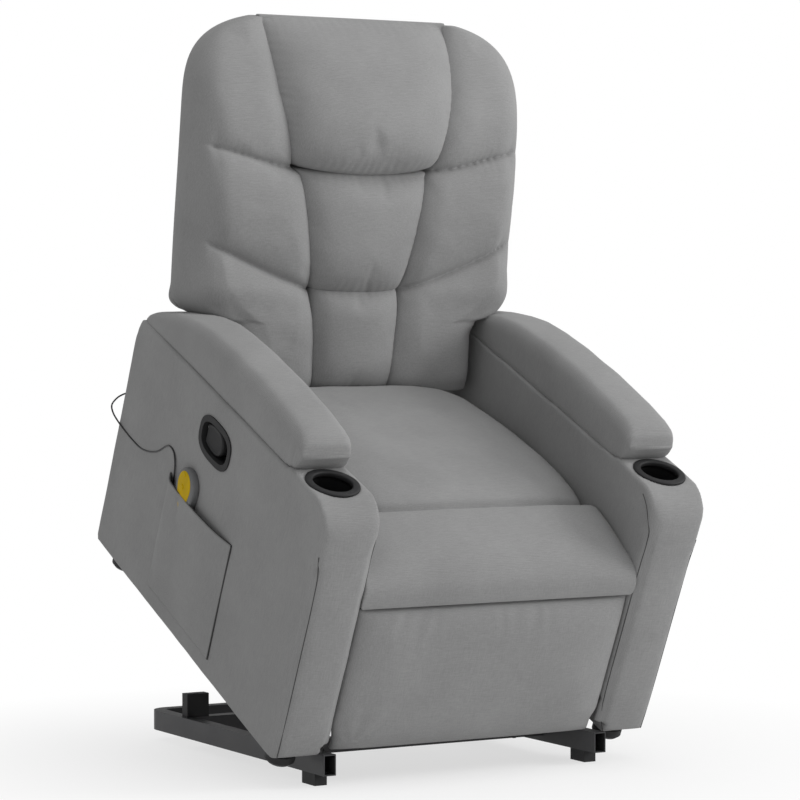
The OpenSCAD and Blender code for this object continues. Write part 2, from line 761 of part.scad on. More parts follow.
// Thickness in front of the hinge plane before any crown or channel.
function front_t(x, s) =
    102 - pow(max(0, s - 430), 2) * (0.0011 + 0.00008 * pow(x / back_half_w, 2));
// Inner edge of the wings, where the middle pieces begin.
seam_edge = [[30, 82], [222, 89], [330, 112], [440, 132], [452, 149], [590, 176], [722, 196], [745, 200]];
function seam_x(s) = lookup(s, seam_edge);
back_plane = -5.5;

module back_shell() {
    cols = 12;
    skin = 4;
    levels = [40, 120, 182, 190, 202, 226, 280, 350, 420, 500, 548, 592, 630, 660, 684, 701, 713];
    rim = function (s) blend(4, 16, smooth((s - 183) / 40));
    rows = len(levels) - 1;
    s_at = function (v) levels[round(v * rows)];
    deep = function (u, v, inset) let (k = abs(2 * u - 1))
        26 + 26 * pow(1 - pow(k, 4), 0.5) * pow(sin(180 * blend(0.08, 0.92, v)), 0.25) - inset;
    at = function (u, v, inset) let (s = s_at(v))
        [(2 * u - 1) * (half_w(s) - rim(s) - inset), deep(u, v, inset), blend(s, 380, inset / 600)];
    n = (rows + 1) * (cols + 1);
    loop = concat(
        [for (i = [0:cols - 1]) i], [for (j = [0:rows - 1]) j * (cols + 1) + cols],
        [for (i = [cols:-1:1]) rows * (cols + 1) + i], [for (j = [rows:-1:1]) j * (cols + 1)]
    );
    count = len(loop);
    outer = [for (j = [0:rows]) for (i = [0:cols]) at(i / cols, j / rows, 0)];
    inner = [for (j = [0:rows]) for (i = [0:cols]) at(i / cols, j / rows, skin)];
    lip_out = [for (k = loop) [outer[k][0], -back_plane + gap, outer[k][2]]];
    lip_in = [for (k = loop) [inner[k][0], -back_plane + gap, inner[k][2]]];
    pts = concat(outer, inner, lip_out, lip_in);
    faces = concat(
        [for (j = [0:rows - 1]) for (i = [0:cols - 1]) let (a = j * (cols + 1) + i)
            each [[a, a + 1, a + cols + 1], [a + 1, a + cols + 2, a + cols + 1],
                  [n + a, n + a + cols + 1, n + a + 1],
                  [n + a + 1, n + a + cols + 1, n + a + cols + 2]]],
        [for (k = [0:count - 1]) let (
            a = loop[k], b = loop[(k + 1) % count], lo = 2 * n + k, lb = 2 * n + (k + 1) % count,
            li = lo + count, lj = lb + count)
            each [[a, lb, b], [a, lo, lb], [lo, lj, lb], [lo, li, lj],
                  [li, n + a, n + b], [li, n + b, lj]]]
    );
    color("#8c8c8c") back_pose() difference() {
        polyhedron(pts, faces, convexity = 6);
        both() translate([220.4, frame_deep[0] - 0.6, 36])
            cube([23.2, frame_deep[1] - frame_deep[0] + 1.2, 12]);
    }
}
// Heights of the two sewn channels of a wing, from its inner edge to its outer edge.
function channel_low(k) = blend(224, 322, smooth(k * 0.9) * 0.35 + k * 0.65);
function channel_high(k) = blend(450, 492, smooth(k) * 0.5 + k * 0.5);
module back_wing() {
    nu = 10;
    levels = [
        30, 80, 140, 183, 186, 190, 196, 206, 224, 240, 256, 272, 288, 304, 322, 350, 390, 425,
        445, 456, 468, 480, 492, 520, 560, 600, 636, 664, 687, 702, 712, 718, 721
    ];
    rows = len(levels) - 1;
    groove = 20;
    front = function (u, v) let (
        s = levels[round(v * rows)], in_x = seam_x(s) + 1.6, out_x = max(half_w(s), in_x + 3),
        round_x = min(36, (out_x - in_x) * 0.6), a = 82 * max(0, (u - 0.55) / 0.45),
        x = u < 0.55 ? blend(in_x, out_x - round_x, u / 0.55) : out_x - round_x * (1 - pow(sin(a), 0.7)),
        k = (x - in_x) / (back_half_w - in_x),
        puff = 9 * smooth((s - 186) / 50) * pow(sin(180 * blend(0.05, 0.62, u)), 0.7),
        edge = blend(0.25, 1, pow(cos(a), 0.62)), seam = 14 * exp(-pow((x - in_x) / 22, 2)),
        dip = groove * (exp(-pow((s - channel_low(k)) / 13, 2)) + exp(-pow((s - channel_high(k)) / 13, 2)))
            * smooth((1 - u) * 9),
        foot = 10 * exp(-pow((s - 30) / 18, 2)),
        t = (front_t(x, s) + puff - seam - dip - foot) * edge
    ) [x, -max(t, 6), s];
    crowned(nu, rows, front, [
        function (p) [p[0], blend(p[1], -back_plane, 0.6), p[2]],
        function (p) [p[0] > 240 ? p[0] - 6 : p[0], -back_plane, p[2]]
    ], [240, -back_plane, 400]);
}
module back_wing_left() { color("#a5a5a5") back_pose() back_wing(); }
module back_wing_right() { color("#a5a5a5") back_pose() mirror([1, 0, 0]) back_wing(); }
// A middle piece of the backrest between two heights, crowned by the given amount.
module middle_piece(s0, s1, sag, rise, nu, nv) {
    front = function (u, v) let (
        k = 2 * u - 1, s = blend(s0, s1, v) - sag * (1 - k * k) * (1 - v) ,
        x = k * (seam_x(blend(s0, s1, v)) - 1.4),
        crown = pow(max(0, 1 - pow(abs(k), 6)), 0.5) * pow(max(0, 1 - pow(abs(2 * v - 1), 5)), 0.5),
        t = front_t(x, s) - 14 + (rise + 14) * crown
    ) [x, -max(t, 6), s];
    crowned(nu, nv, front, [
        function (p) [p[0], blend(p[1], -back_plane, 0.6), p[2]],
        function (p) [p[0], -back_plane, p[2]]
    ], [0, -back_plane, (s0 + s1) / 2]);
}
module head_pillow() { color("#ababab") back_pose() middle_piece(453, back_top, 14, 34, 14, 14); }
module lumbar_panel() { color("#a2a2a2") back_pose() middle_piece(225, 438, 6, 6, 8, 10); }
module waist_panel() { color("#a2a2a2") back_pose() middle_piece(32, 216, 0, 4, 8, 8); }

// ---- Footrest ----
foot_link_r = 10;
foot_link_t = 5;
module footrest_link_a() {
    color("#47484a") chair_pose() both() union() {
        plate(255, foot_link_t) difference() {
            bar(foot_p1, foot_p2, foot_link_r);
            translate(foot_p1) circle(rivet_r + run);
        }
        pin(foot_p2, 239.5, 255, rivet_r);
        pin(foot_ad, 246.5, 255, rivet_r);
    }
}
module footrest_link_b() {
    color("#47484a") chair_pose() both() union() {
        plate(241, foot_link_t) difference() {
            union() {
                bar(foot_p2, foot_p3, foot_link_r);
                bar(foot_p2, foot_bc, foot_link_r);
            }
            translate(foot_p2) circle(rivet_r + run);
        }
        pin(foot_p3, 232.5, 241, rivet_r);
        pin(foot_bc, 232.5, 241, rivet_r);
    }
}
module footrest_link_c() {
    open_r = rivet_r + 2.2;
    color("#47484a") chair_pose() both() plate(234, foot_link_t) difference() {
        bar(foot_q, foot_bc, foot_link_r + 1);
        translate(foot_q) circle(rivet_r + run);
        translate(foot_bc) circle(open_r);
    }
}
module footrest_link_d() {
    color("#47484a") chair_pose() both() union() {
        plate(248, foot_link_t) difference() {
            bar(foot_ad, foot_db, foot_link_r);
            translate(foot_ad) circle(rivet_r + run);
        }
        pin(foot_db, 232.5, 248, rivet_r);
    }
}
board_y = -398;
board_t = 12;
module footrest_brackets() {
    open_r = rivet_r + 1.4;
    color("#414143") chair_pose() both() {
        plate(234, foot_link_t) difference() {
            union() {
                bar(foot_p3, foot_db, foot_link_r + 1);
                polygon([
                    [board_y + board_t, foot_p3[1] - 25], foot_p3 + [0, -10], foot_p3, foot_db,
                    foot_db + [0, 11], [board_y + board_t, foot_db[1] + 25]
                ]);
            }
            translate(foot_p3) circle(rivet_r + run);
            translate(foot_db) circle(open_r);
            translate([board_y, foot_p3[1] - 60]) square([board_t, 160]);
        }
    }
}
module footrest_board() {
    color("#b08d5c") chair_pose() translate([-255, board_y, 52]) cube([510, board_t, 256]);
}
module footrest_pad() {
    half = 265;
    low = 38;
    high = 320;
    color("#a3a3a3") chair_pose() crowned(14, 10,
        function (u, v) let (
            k = abs(2 * u - 1), crown = pow(1 - pow(k, 5), 0.5) * pow(max(0, 1 - pow(abs(2 * v - 1), 3.5)), 0.5)
        ) [(2 * u - 1) * half, -406 - 26 * crown, blend(low, high, v)],
        [function (p) [p[0], board_y - gap, p[2]]], [0, board_y - gap, (low + high) / 2]);
}

base_side_rails();
base_rear_tube();
base_cross_tube();
base_front_tube();
base_feet();
rest_blocks();
lift_brackets();
base_pivot_pins();
gas_spring_lugs();
rear_lift_links();
lift_torque_tube();
front_lift_links();
gas_spring_cylinders();
gas_spring_rods();
lift_hangers();
seat_rails();
rear_posts();
seat_cross_rails();
gas_spring_shaft();
seat_springs();
chair_pivot_pins();
footrest_plates();
recline_brackets();
arm_left();
arm_right();
arm_panel_left();
arm_panel_right();
arm_pad_left();
arm_pad_right();
cup_holders();
glides();
seat_cushion();
rear_panel();
pull_bezel();
pull_handle();
side_pocket();
handset_body();
handset_face();
power_button();
mode_button();
handset_cord();
cord_gland();
back_uprights();
back_cross_rails();
back_panel();
massage_motors();
back_shell();
back_wing_left();
back_wing_right();
head_pillow();
lumbar_panel();
waist_panel();
footrest_link_a();
footrest_link_b();
footrest_link_c();
footrest_link_d();
footrest_brackets();
footrest_board();
footrest_pad();
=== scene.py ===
"""Lift recliner chair: the dressed model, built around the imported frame."""
import json
import logging
import math
from dataclasses import dataclass, field
from enum import Enum
from typing import Callable, Iterable, Sequence

import bmesh
import bpy
import numpy as np
from mathutils import Matrix, Vector, noise


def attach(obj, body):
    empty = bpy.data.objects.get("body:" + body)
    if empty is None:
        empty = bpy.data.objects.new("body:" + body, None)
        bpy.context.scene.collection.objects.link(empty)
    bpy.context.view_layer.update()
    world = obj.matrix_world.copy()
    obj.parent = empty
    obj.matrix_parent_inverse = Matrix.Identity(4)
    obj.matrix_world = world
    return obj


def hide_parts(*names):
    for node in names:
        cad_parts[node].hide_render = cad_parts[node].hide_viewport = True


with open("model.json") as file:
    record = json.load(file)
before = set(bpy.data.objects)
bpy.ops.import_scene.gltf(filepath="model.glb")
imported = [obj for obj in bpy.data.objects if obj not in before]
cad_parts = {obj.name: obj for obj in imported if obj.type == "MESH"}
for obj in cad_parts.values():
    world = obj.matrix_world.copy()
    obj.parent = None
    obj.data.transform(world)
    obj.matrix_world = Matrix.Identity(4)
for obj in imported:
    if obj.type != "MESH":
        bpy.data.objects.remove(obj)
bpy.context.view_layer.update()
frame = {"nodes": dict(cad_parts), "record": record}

MM = 0.001
LOG = logging.getLogger("lift_recliner")
Array = np.ndarray
Point = tuple[float, float, float]
Outline = tuple[tuple[float, float], ...]


# ---------------------------------------------------------------- places


@dataclass(frozen=True)
class ChairPlaces:
    """Where the chair body and its backrest stand in the row frame, in millimetres and degrees."""

    lift_tilt: float = 24.9
    lift_rise: float = 198.5
    row_y: float = 133.0
    hinge_y: float = 300.0
    hinge_z: float = 360.0
    back_lean: float = 16.5

    def base(self) -> Matrix:
        """Return the matrix from base millimetres to row metres."""
        return Matrix.Scale(MM, 4) @ Matrix.Translation((0, self.row_y, 0))

    def chair(self) -> Matrix:
        """Return the matrix from chair-body millimetres to row metres."""
        tilt = Matrix.Rotation(math.radians(self.lift_tilt), 4, "X")
        return Matrix.Scale(MM, 4) @ Matrix.Translation((0, self.row_y, self.lift_rise)) @ tilt

    def back(self) -> Matrix:
        """Return the matrix from backrest millimetres to row metres."""
        lean = Matrix.Rotation(math.radians(-self.back_lean), 4, "X")
        return self.chair() @ Matrix.Translation((0, self.hinge_y, self.hinge_z)) @ lean


PLACES = ChairPlaces()


class Side(Enum):
    """The sitter's left and right, as the sign of X."""

    LEFT = 1
    RIGHT = -1

    @property
    def word(self) -> str:
        """Return the side's name for pieces."""
        return self.name.lower()


# ---------------------------------------------------------------- node materials


class NodeGraph:
    """A small typed helper around one material's node tree."""

    def __init__(self, name: str) -> None:
        """Make an empty material.

        Args:
            name: The material's name.
        """
        self.material = bpy.data.materials.new(name)
        self.material.use_nodes = True
        self.tree = self.material.node_tree
        self.tree.nodes.clear()
        self.output = self.tree.nodes.new("ShaderNodeOutputMaterial")
        self.shader = self.tree.nodes.new("ShaderNodeBsdfPrincipled")
        self.link(self.shader.outputs[0], self.output.inputs["Surface"])

    def link(self, source: bpy.types.NodeSocket, target: bpy.types.NodeSocket) -> None:
        """Join an output to an input."""
        self.tree.links.new(source, target)

    def node(self, kind: str, **values: object) -> bpy.types.Node:
        """Add a node.

        Args:
            kind: The node's Blender type, without its ShaderNode prefix.
            **values: Attributes, or inputs by name with underscores for spaces.

        Returns:
            The new node.
        """
        made = self.tree.nodes.new("ShaderNode" + kind)
        for name, value in values.items():
            if hasattr(made, name):
                setattr(made, name, value)
            else:
                socket = made.inputs[name.replace("_", " ")]
                if isinstance(value, bpy.types.NodeSocket):
                    self.link(value, socket)
                else:
                    socket.default_value = value
        return made

    def math(self, operation: str, *values: object, clamp: bool = False) -> bpy.types.NodeSocket:
        """Add a Math node and return its output.

        Args:
            operation: The Math node's operation.
            *values: Numbers or sockets for its inputs in order.
            clamp: Whether the result is held to 0 to 1.

        Returns:
            The result's socket.
        """
        made = self.tree.nodes.new("ShaderNodeMath")
        made.operation = operation
        made.use_clamp = clamp
        for socket, value in zip(made.inputs, values):
            if isinstance(value, bpy.types.NodeSocket):
                self.link(value, socket)
            else:
                socket.default_value = value
        return made.outputs[0]

    def ramp(self, factor: bpy.types.NodeSocket,
             *stops: tuple[float, Sequence[float]]) -> bpy.types.NodeSocket:
        """Add a colour ramp.

        Args:
            factor: What drives it.
            *stops: Positions with their colours.

        Returns:
            The colour's socket.
        """
        made = self.tree.nodes.new("ShaderNodeValToRGB")
        ramp = made.color_ramp
        while len(ramp.elements) < len(stops):
            ramp.elements.new(0.5)
        for element, (place, colour) in zip(ramp.elements, stops):
            element.position = place
            element.color = (*colour, 1.0)
        self.link(factor, made.inputs[0])
        return made.outputs[0]

    def noise(self, vector: bpy.types.NodeSocket, scale: float, detail: float = 2.0,
              roughness: float = 0.5) -> bpy.types.NodeSocket:
        """Add a noise texture and return its factor."""
        made = self.node("TexNoise", Vector=vector, Scale=scale, Detail=detail, Roughness=roughness)
        return made.outputs["Fac"]

    def bump(self, height: bpy.types.NodeSocket, strength: float, distance: float,
             under: bpy.types.NodeSocket | None = None) -> bpy.types.NodeSocket:
        """Add a bump.

        Args:
            height: What raises the surface.
            strength: How much of it shows.
            distance: Its height in metres.
            under: A normal it adds to, or None.

        Returns:
            The normal's socket.
        """
        made = self.node("Bump", Strength=strength, Distance=distance, Height=height)
        if under is not None:
            self.link(under, made.inputs["Normal"])
        return made.outputs[0]


def scaled(colour: Sequence[float], factor: float) -> tuple[float, float, float]:
    """Return a colour times a factor, held to 1."""
    return tuple(min(1.0, c * factor) for c in colour)


@dataclass(frozen=True)
class LinenCloth:
    """Fine woven upholstery cloth with a soft nap and thread-to-thread variation."""

    name: str = "linen_cloth"
    colour: tuple[float, float, float] = (0.325, 0.325, 0.325)
    thread: float = 0.0011
    turn: float = 24.9

    def material(self) -> bpy.types.Material:
        """Return the cloth's node material."""
        g = NodeGraph(self.name)
        where = g.node("TexCoord").outputs["Object"]
        along = g.node("Mapping", vector_type="POINT", Vector=where,
                       Rotation=(math.radians(-self.turn), 0, 0)).outputs[0]
        facing = g.node("TexCoord").outputs["Normal"]
        local = g.node("Mapping", vector_type="NORMAL", Vector=facing,
                       Rotation=(math.radians(-self.turn), 0, 0)).outputs[0]
        split = g.node("SeparateXYZ", Vector=local)
        weights = [g.math("POWER", g.math("ABSOLUTE", s), 3.0) for s in split.outputs]
        # Threads run along each axis; a face shows the two that lie in it.
        waves = []
        for axis in "XYZ":
            wave = g.node("TexWave", wave_type="BANDS", bands_direction=axis, wave_profile="SIN",
                          Vector=along, Scale=0.314 / (2 * self.thread), Distortion=1.2,
                          Detail=1.0, Detail_Scale=3.0)
            waves.append(wave.outputs["Fac"])
        pairs = [g.math("MULTIPLY", waves[b], waves[c]) for b, c in ((1, 2), (0, 2), (0, 1))]
        parts = [g.math("MULTIPLY", p, w) for p, w in zip(pairs, weights)]
        weave = g.math("ADD", g.math("ADD", parts[0], parts[1]), parts[2])
        # Slubs: thicker, lighter stretches of thread along the width and the height.
        slubs = []
        for stretch in ((60, 900, 900), (900, 900, 60)):
            moved = g.node("Mapping", vector_type="POINT", Vector=along, Scale=stretch).outputs[0]
            slubs.append(g.noise(moved, 1.0, 2.0, 0.6))
        slub = g.math("MULTIPLY", g.math("ADD", slubs[0], slubs[1]), 0.5)
        broad = g.noise(along, 7.0, 3.0, 0.55)
        tone = g.math("ADD", g.math("MULTIPLY", slub, 0.7), g.math("MULTIPLY", broad, 0.3))
        colour = g.ramp(tone, (0.3, scaled(self.colour, 0.8)), (0.5, self.colour),
                        (0.72, scaled(self.colour, 1.22)))
        dark = g.node("Mix", data_type="RGBA", blend_type="MULTIPLY", Factor=0.35)
        g.link(colour, dark.inputs["A"])
        g.link(g.ramp(weave, (0.0, (0.62, 0.62, 0.62)), (0.6, (1, 1, 1))), dark.inputs["B"])
        g.link(dark.outputs["Result"], g.shader.inputs["Base Color"])
        rough = g.math("MULTIPLY_ADD", slub, 0.12, 0.82)
        g.link(rough, g.shader.inputs["Roughness"])
        g.shader.inputs["Specular IOR Level"].default_value = 0.22
        g.shader.inputs["Sheen Weight"].default_value = 0.1
        g.shader.inputs["Sheen Roughness"].default_value = 0.5
        normal = g.bump(weave, 0.35, 0.0004)
        normal = g.bump(slub, 0.25, 0.0005, normal)
        normal = g.bump(g.noise(along, 28.0, 3.0), 0.12, 0.004, normal)
        g.link(normal, g.shader.inputs["Normal"])
        return g.material


@dataclass(frozen=True)
class PowderCoat:
    """Powder-coated steel: fine orange peel, a painted highlight on sharp edges, and a little dust."""

    name: str
    colour: tuple[float, float, float]
    roughness: float = 0.45

    def material(self) -> bpy.types.Material:
        """Return the coating's node material."""
        g = NodeGraph(self.name)
        where = g.node("TexCoord").outputs["Object"]
        patches = g.noise(where, 14.0, 4.0, 0.6)
        colour = g.ramp(patches, (0.3, scaled(self.colour, 0.82)), (0.7, scaled(self.colour, 1.2)))
        # Painted highlight: where the mesh is sharp (high pointiness), the colour is mixed up to half way
        # toward 2.6 times the coat's colour.
        edge = g.node("NewGeometry").outputs["Pointiness"]
        edge_highlight = g.math("MULTIPLY", g.math("SUBTRACT", edge, 0.53, clamp=True), 5.0, clamp=True)
        mixed = g.node("Mix", data_type="RGBA", blend_type="MIX")
        g.link(g.math("MULTIPLY", edge_highlight, 0.5), mixed.inputs["Factor"])
        g.link(colour, mixed.inputs["A"])
        mixed.inputs["B"].default_value = (*scaled(self.colour, 2.6), 1)
        g.link(mixed.outputs["Result"], g.shader.inputs["Base Color"])
        g.link(g.math("MULTIPLY_ADD", patches, 0.22, self.roughness - 0.1), g.shader.inputs["Roughness"])
        g.shader.inputs["Metallic"].default_value = 0.0
        g.shader.inputs["Specular IOR Level"].default_value = 0.45
        peel = g.noise(where, 900.0, 2.0)
        g.link(g.bump(peel, 0.22, 0.0003), g.shader.inputs["Normal"])
        return g.material


@dataclass(frozen=True)
class MouldedPlastic:
    """Moulded plastic with a spark-eroded grain."""

    name: str
    colour: tuple[float, float, float]
    roughness: float = 0.5
    grain: float = 0.25
    shine: float = 0.5

    def material(self) -> bpy.types.Material:
        """Return the plastic's node material."""
        g = NodeGraph(self.name)
        g.shader.inputs["Specular IOR Level"].default_value = self.shine
        where = g.node("TexCoord").outputs["Object"]
        cloud = g.noise(where, 22.0, 3.0, 0.55)
        colour = g.ramp(cloud, (0.3, scaled(self.colour, 0.86)), (0.7, scaled(self.colour, 1.14)))
        g.link(colour, g.shader.inputs["Base Color"])
        g.link(g.math("MULTIPLY_ADD", cloud, 0.2, self.roughness - 0.1), g.shader.inputs["Roughness"])
        cells = g.node("TexVoronoi", Vector=where, Scale=1500.0)
        g.link(g.bump(cells.outputs["Distance"], self.grain, 0.0002), g.shader.inputs["Normal"])
        return g.material


@dataclass(frozen=True)
class BareSteel:
    """Plated or polished steel with fine scratches along its length."""

    name: str
    colour: tuple[float, float, float]
    roughness: float = 0.3

    def material(self) -> bpy.types.Material:
        """Return the steel's node material."""
        g = NodeGraph(self.name)
        where = g.node("TexCoord").outputs["Object"]
        cloud = g.noise(where, 30.0, 3.0)
        colour = g.ramp(cloud, (0.3, scaled(self.colour, 0.88)), (0.7, self.colour))
        g.link(colour, g.shader.inputs["Base Color"])
        g.shader.inputs["Metallic"].default_value = 1.0
        lines = g.node("Mapping", vector_type="POINT", Vector=where, Scale=(120, 900, 900)).outputs[0]
        scratch = g.noise(lines, 1.0, 3.0, 0.7)
        g.link(g.math("MULTIPLY_ADD", scratch, 0.2, self.roughness - 0.1), g.shader.inputs["Roughness"])
        g.link(g.bump(scratch, 0.1, 0.0002), g.shader.inputs["Normal"])
        return g.material


@dataclass(frozen=True)
class RawPlywood:
    """Raw birch plywood: long grain, small flecks."""

    name: str = "raw_plywood"
    colour: tuple[float, float, float] = (0.55, 0.4, 0.24)

    def material(self) -> bpy.types.Material:
        """Return the wood's node material."""
        g = NodeGraph(self.name)
        where = g.node("TexCoord").outputs["Object"]
        grain = g.node("Mapping", vector_type="POINT", Vector=where, Scale=(6, 90, 90)).outputs[0]
        rings = g.noise(grain, 1.5, 5.0, 0.62)
        colour = g.ramp(rings, (0.3, scaled(self.colour, 0.72)), (0.5, self.colour),
                        (0.75, scaled(self.colour, 1.2)))
        g.link(colour, g.shader.inputs["Base Color"])
        g.link(g.math("MULTIPLY_ADD", rings, 0.2, 0.6), g.shader.inputs["Roughness"])
        g.link(g.bump(rings, 0.2, 0.0006), g.shader.inputs["Normal"])
        return g.material


@dataclass
class FinishSet:
    """Every finish of the chair, made once and looked up by the record's slot."""

    by_slot: dict[str, bpy.types.Material] = field(default_factory=dict)
    # Dark matte finish of the thin tubes along seams: painted seam shade.
    thread: bpy.types.Material | None = None
    well: bpy.types.Material | None = None

    def make(self) -> None:
        """Make the node materials."""
        grey_steel = PowderCoat("base_powder_coat", (0.028, 0.028, 0.03), 0.5)
        frame_steel = PowderCoat("frame_powder_coat", (0.022, 0.022, 0.024), 0.42)
        moulding = MouldedPlastic("black_moulding", (0.024, 0.024, 0.025), 0.62, 0.25, 0.3)
        yellow = MouldedPlastic("handset_yellow", (0.62, 0.41, 0.0), 0.55, 0.1, 0.12)
        self.by_slot = {
            "linen": LinenCloth().material(),
            "base_steel": grey_steel.material(),
            "frame_steel": frame_steel.material(),
            "plated_steel": BareSteel("plated_steel", (0.55, 0.55, 0.57), 0.38).material(),
            "rod_chrome": BareSteel("rod_chrome", (0.75, 0.75, 0.78), 0.16).material(),
            "cylinder_black": PowderCoat("cylinder_enamel", (0.012, 0.012, 0.013), 0.3).material(),
            "black_plastic": moulding.material(),
            "plywood": RawPlywood().material(),
            "handset_grey": MouldedPlastic("handset_grey", (0.15, 0.152, 0.155), 0.5).material(),
            "handset_yellow": yellow.material(),
            "cord_black": MouldedPlastic("cord_sheath", (0.01, 0.01, 0.011), 0.4, 0.12).material(),
        }
        # Thin dark tubes along seams get this finish as painted shade in the seams.
        self.thread = MouldedPlastic("sewing_thread", (0.055, 0.055, 0.055), 0.8, 0.5).material()
        self.well = MouldedPlastic("cup_moulding", (0.014, 0.014, 0.0145), 0.75, 0.25, 0.08).material()

    def dress(self, piece: bpy.types.Object, slot: str) -> bpy.types.Object:
        """Give a piece the finish of a slot.

        Args:
            piece: The object.
            slot: The record's material slot.

        Returns:
            The same object.
        """
        piece.data.materials.clear()
        piece.data.materials.append(self.by_slot[slot])
        return piece


FINISHES = FinishSet()


# ---------------------------------------------------------------- meshes


def blend(a: float, b: float, k: float) -> float:
    """Return the value a share k of the way from a to b."""
    return a + (b - a) * k


def smooth(k: float) -> float:
    """Return a smooth step of k from 0 to 1."""
    c = max(0.0, min(1.0, k))
    return c * c * (3 - 2 * c)


def hump(distance: float, width: float) -> float:
    """Return a bell of the given half width."""
    return math.exp(-((distance / width) ** 2))


def sewn(distance: float, width: float) -> float:
    """Return how far stuffing has risen at a distance from a sewn line, from 0 at the line to 1."""
    away = 1 - min(1.0, max(0.0, distance) / width)
    return math.sqrt(1 - away * away)


def wobble(x: float, y: float, z: float, scale: float, seed: float = 0.0) -> float:
    """Return smooth noise from -1 to 1 at a point in millimetres."""
    return noise.noise(Vector((x / scale + seed, y / scale - seed, z / scale + 0.37 * seed)))


def add_mesh(name: str, points: Iterable[Sequence[float]], faces: Iterable[Sequence[int]],
             place: Matrix, smooth_faces: bool = True) -> bpy.types.Object:
    """Make a mesh object from local points.

    Args:
        name: The piece's name.
        points: Points in the place's millimetres.
        faces: Faces as point numbers.
        place: The matrix to row metres.
        smooth_faces: Whether the faces shade smoothly.

    Returns:
        The new object, its origin at the row frame's origin.
    """
    mesh = bpy.data.meshes.new(name)
    mesh.from_pydata([tuple(place @ Vector(p)) for p in points], [], [tuple(f) for f in faces])
    mesh.validate()
    made = bpy.data.objects.new(name, mesh)
    bpy.context.scene.collection.objects.link(made)
    tidy = bmesh.new()
    tidy.from_mesh(mesh)
    bmesh.ops.recalc_face_normals(tidy, faces=tidy.faces)
    tidy.to_mesh(mesh)
    tidy.free()
    mesh.polygons.foreach_set("use_smooth", [smooth_faces] * len(mesh.polygons))
    return made


def border(nu: int, nv: int) -> list[int]:
    """Return the point numbers round the edge of an nu by nv grid."""
    return (list(range(nu)) + [j * (nu + 1) + nu for j in range(nv)]
            + [nv * (nu + 1) + i for i in range(nu, 0, -1)]
            + [j * (nu + 1) for j in range(nv, 0, -1)])


def grid_faces(nu: int, nv: int, first: int = 0) -> list[tuple[int, int, int, int]]:
    """Return the quads of an nu by nv grid."""
    return [(first + j * (nu + 1) + i, first + j * (nu + 1) + i + 1,
             first + (j + 1) * (nu + 1) + i + 1, first + (j + 1) * (nu + 1) + i)
            for j in range(nv) for i in range(nu)]


def crowned(name: str, nu: int, nv: int, front: Callable[[float, float], Point],
            rings: Sequence[Callable[[Point], Point]], rear: Callable[[float, float], Point],
            place: Matrix) -> bpy.types.Object:
    """Make a closed cushion form from a shown face, side rings and a rear face.

    Args:
        name: The piece's name.
        nu: Cells across.
        nv: Cells up.
        front: The shown face for shares across and up.
        rings: Each turns a border point into the next ring's point.
        rear: The rear face for shares across and up.
        place: The matrix to row metres.

    Returns:
        The cushion.
    """
    face = [front(i / nu, j / nv) for j in range(nv + 1) for i in range(nu + 1)]
    back = [rear(i / nu, j / nv) for j in range(nv + 1) for i in range(nu + 1)]
    loop = border(nu, nv)
    count, first = len(loop), 2 * len(face)
    skirt = [r(face[k]) for r in rings for k in loop]

    def at(ring: int, k: int) -> int:
        """Return the point number on a ring, the first and last being the faces' borders."""
        k %= count
        if ring == 0:
            return loop[k]
        if ring == len(rings) + 1:
            return len(face) + loop[k]
        return first + (ring - 1) * count + k

    faces = grid_faces(nu, nv)
    faces += [tuple(reversed(f)) for f in grid_faces(nu, nv, len(face))]
    faces += [(at(r, k + 1), at(r, k), at(r + 1, k), at(r + 1, k + 1))
              for r in range(len(rings) + 1) for k in range(count)]
    return add_mesh(name, face + back + skirt, faces, place)


def stacked(name: str, outline: Sequence[tuple[float, float]], layers: Sequence[tuple[float, float]],
            place: Matrix) -> bpy.types.Object:
    """Make a solid from one outline repeated outwards along X, drawn in a little at some layers.

    Args:
        name: The piece's name.
        outline: Y and Z of each point, once round.
        layers: X of each layer and how far its outline is drawn in.
        place: The matrix to row metres.

    Returns:
        The solid.
    """
    n = len(outline)
    mid = (sum(p[0] for p in outline) / n, sum(p[1] for p in outline) / n)
    points: list[Point] = []
    for x, inset in layers:
        for y, z in outline:
            k = min(1.0, inset / max(1e-6, math.dist((y, z), mid)))
            points.append((x, blend(y, mid[0], k), blend(z, mid[1], k)))
    points += [(layers[0][0], *mid), (layers[-1][0], *mid)]
    faces: list[tuple[int, ...]] = [
        (r * n + k, r * n + (k + 1) % n, (r + 1) * n + (k + 1) % n, (r + 1) * n + k)
        for r in range(len(layers) - 1) for k in range(n)]
    top = (len(layers) - 1) * n
    faces += [(n * len(layers), (k + 1) % n, k) for k in range(n)]
    faces += [(n * len(layers) + 1, top + k, top + (k + 1) % n) for k in range(n)]
    return add_mesh(name, points, faces, place)


def subdivide(piece: bpy.types.Object, levels: int = 1) -> bpy.types.Object:
    """Add and apply a subdivision surface."""
    made = piece.modifiers.new("rounding", "SUBSURF")
    made.levels = made.render_levels = levels
    apply_modifiers(piece)
    return piece


def apply_modifiers(piece: bpy.types.Object) -> None:
    """Replace a piece's mesh by its evaluated mesh and drop its modifiers."""
    graph = bpy.context.evaluated_depsgraph_get()
    graph.update()
    mesh = bpy.data.meshes.new_from_object(piece.evaluated_get(graph))
    old = piece.data
    piece.modifiers.clear()
    piece.data = mesh
    mesh.name = old.name
    bpy.data.meshes.remove(old)
    mesh.polygons.foreach_set("use_smooth", [True] * len(mesh.polygons))


def points_of(piece: bpy.types.Object) -> Array:
    """Return a mesh object's points as an array."""
    co = np.empty(len(piece.data.vertices) * 3, np.float32)
    piece.data.vertices.foreach_get("co", co)
    return co.reshape(-1, 3)


def set_points(piece: bpy.types.Object, co: Array) -> None:
    """Write points back to a mesh object."""
    piece.data.vertices.foreach_set("co", np.ascontiguousarray(co, np.float32).ravel())
    piece.data.update()


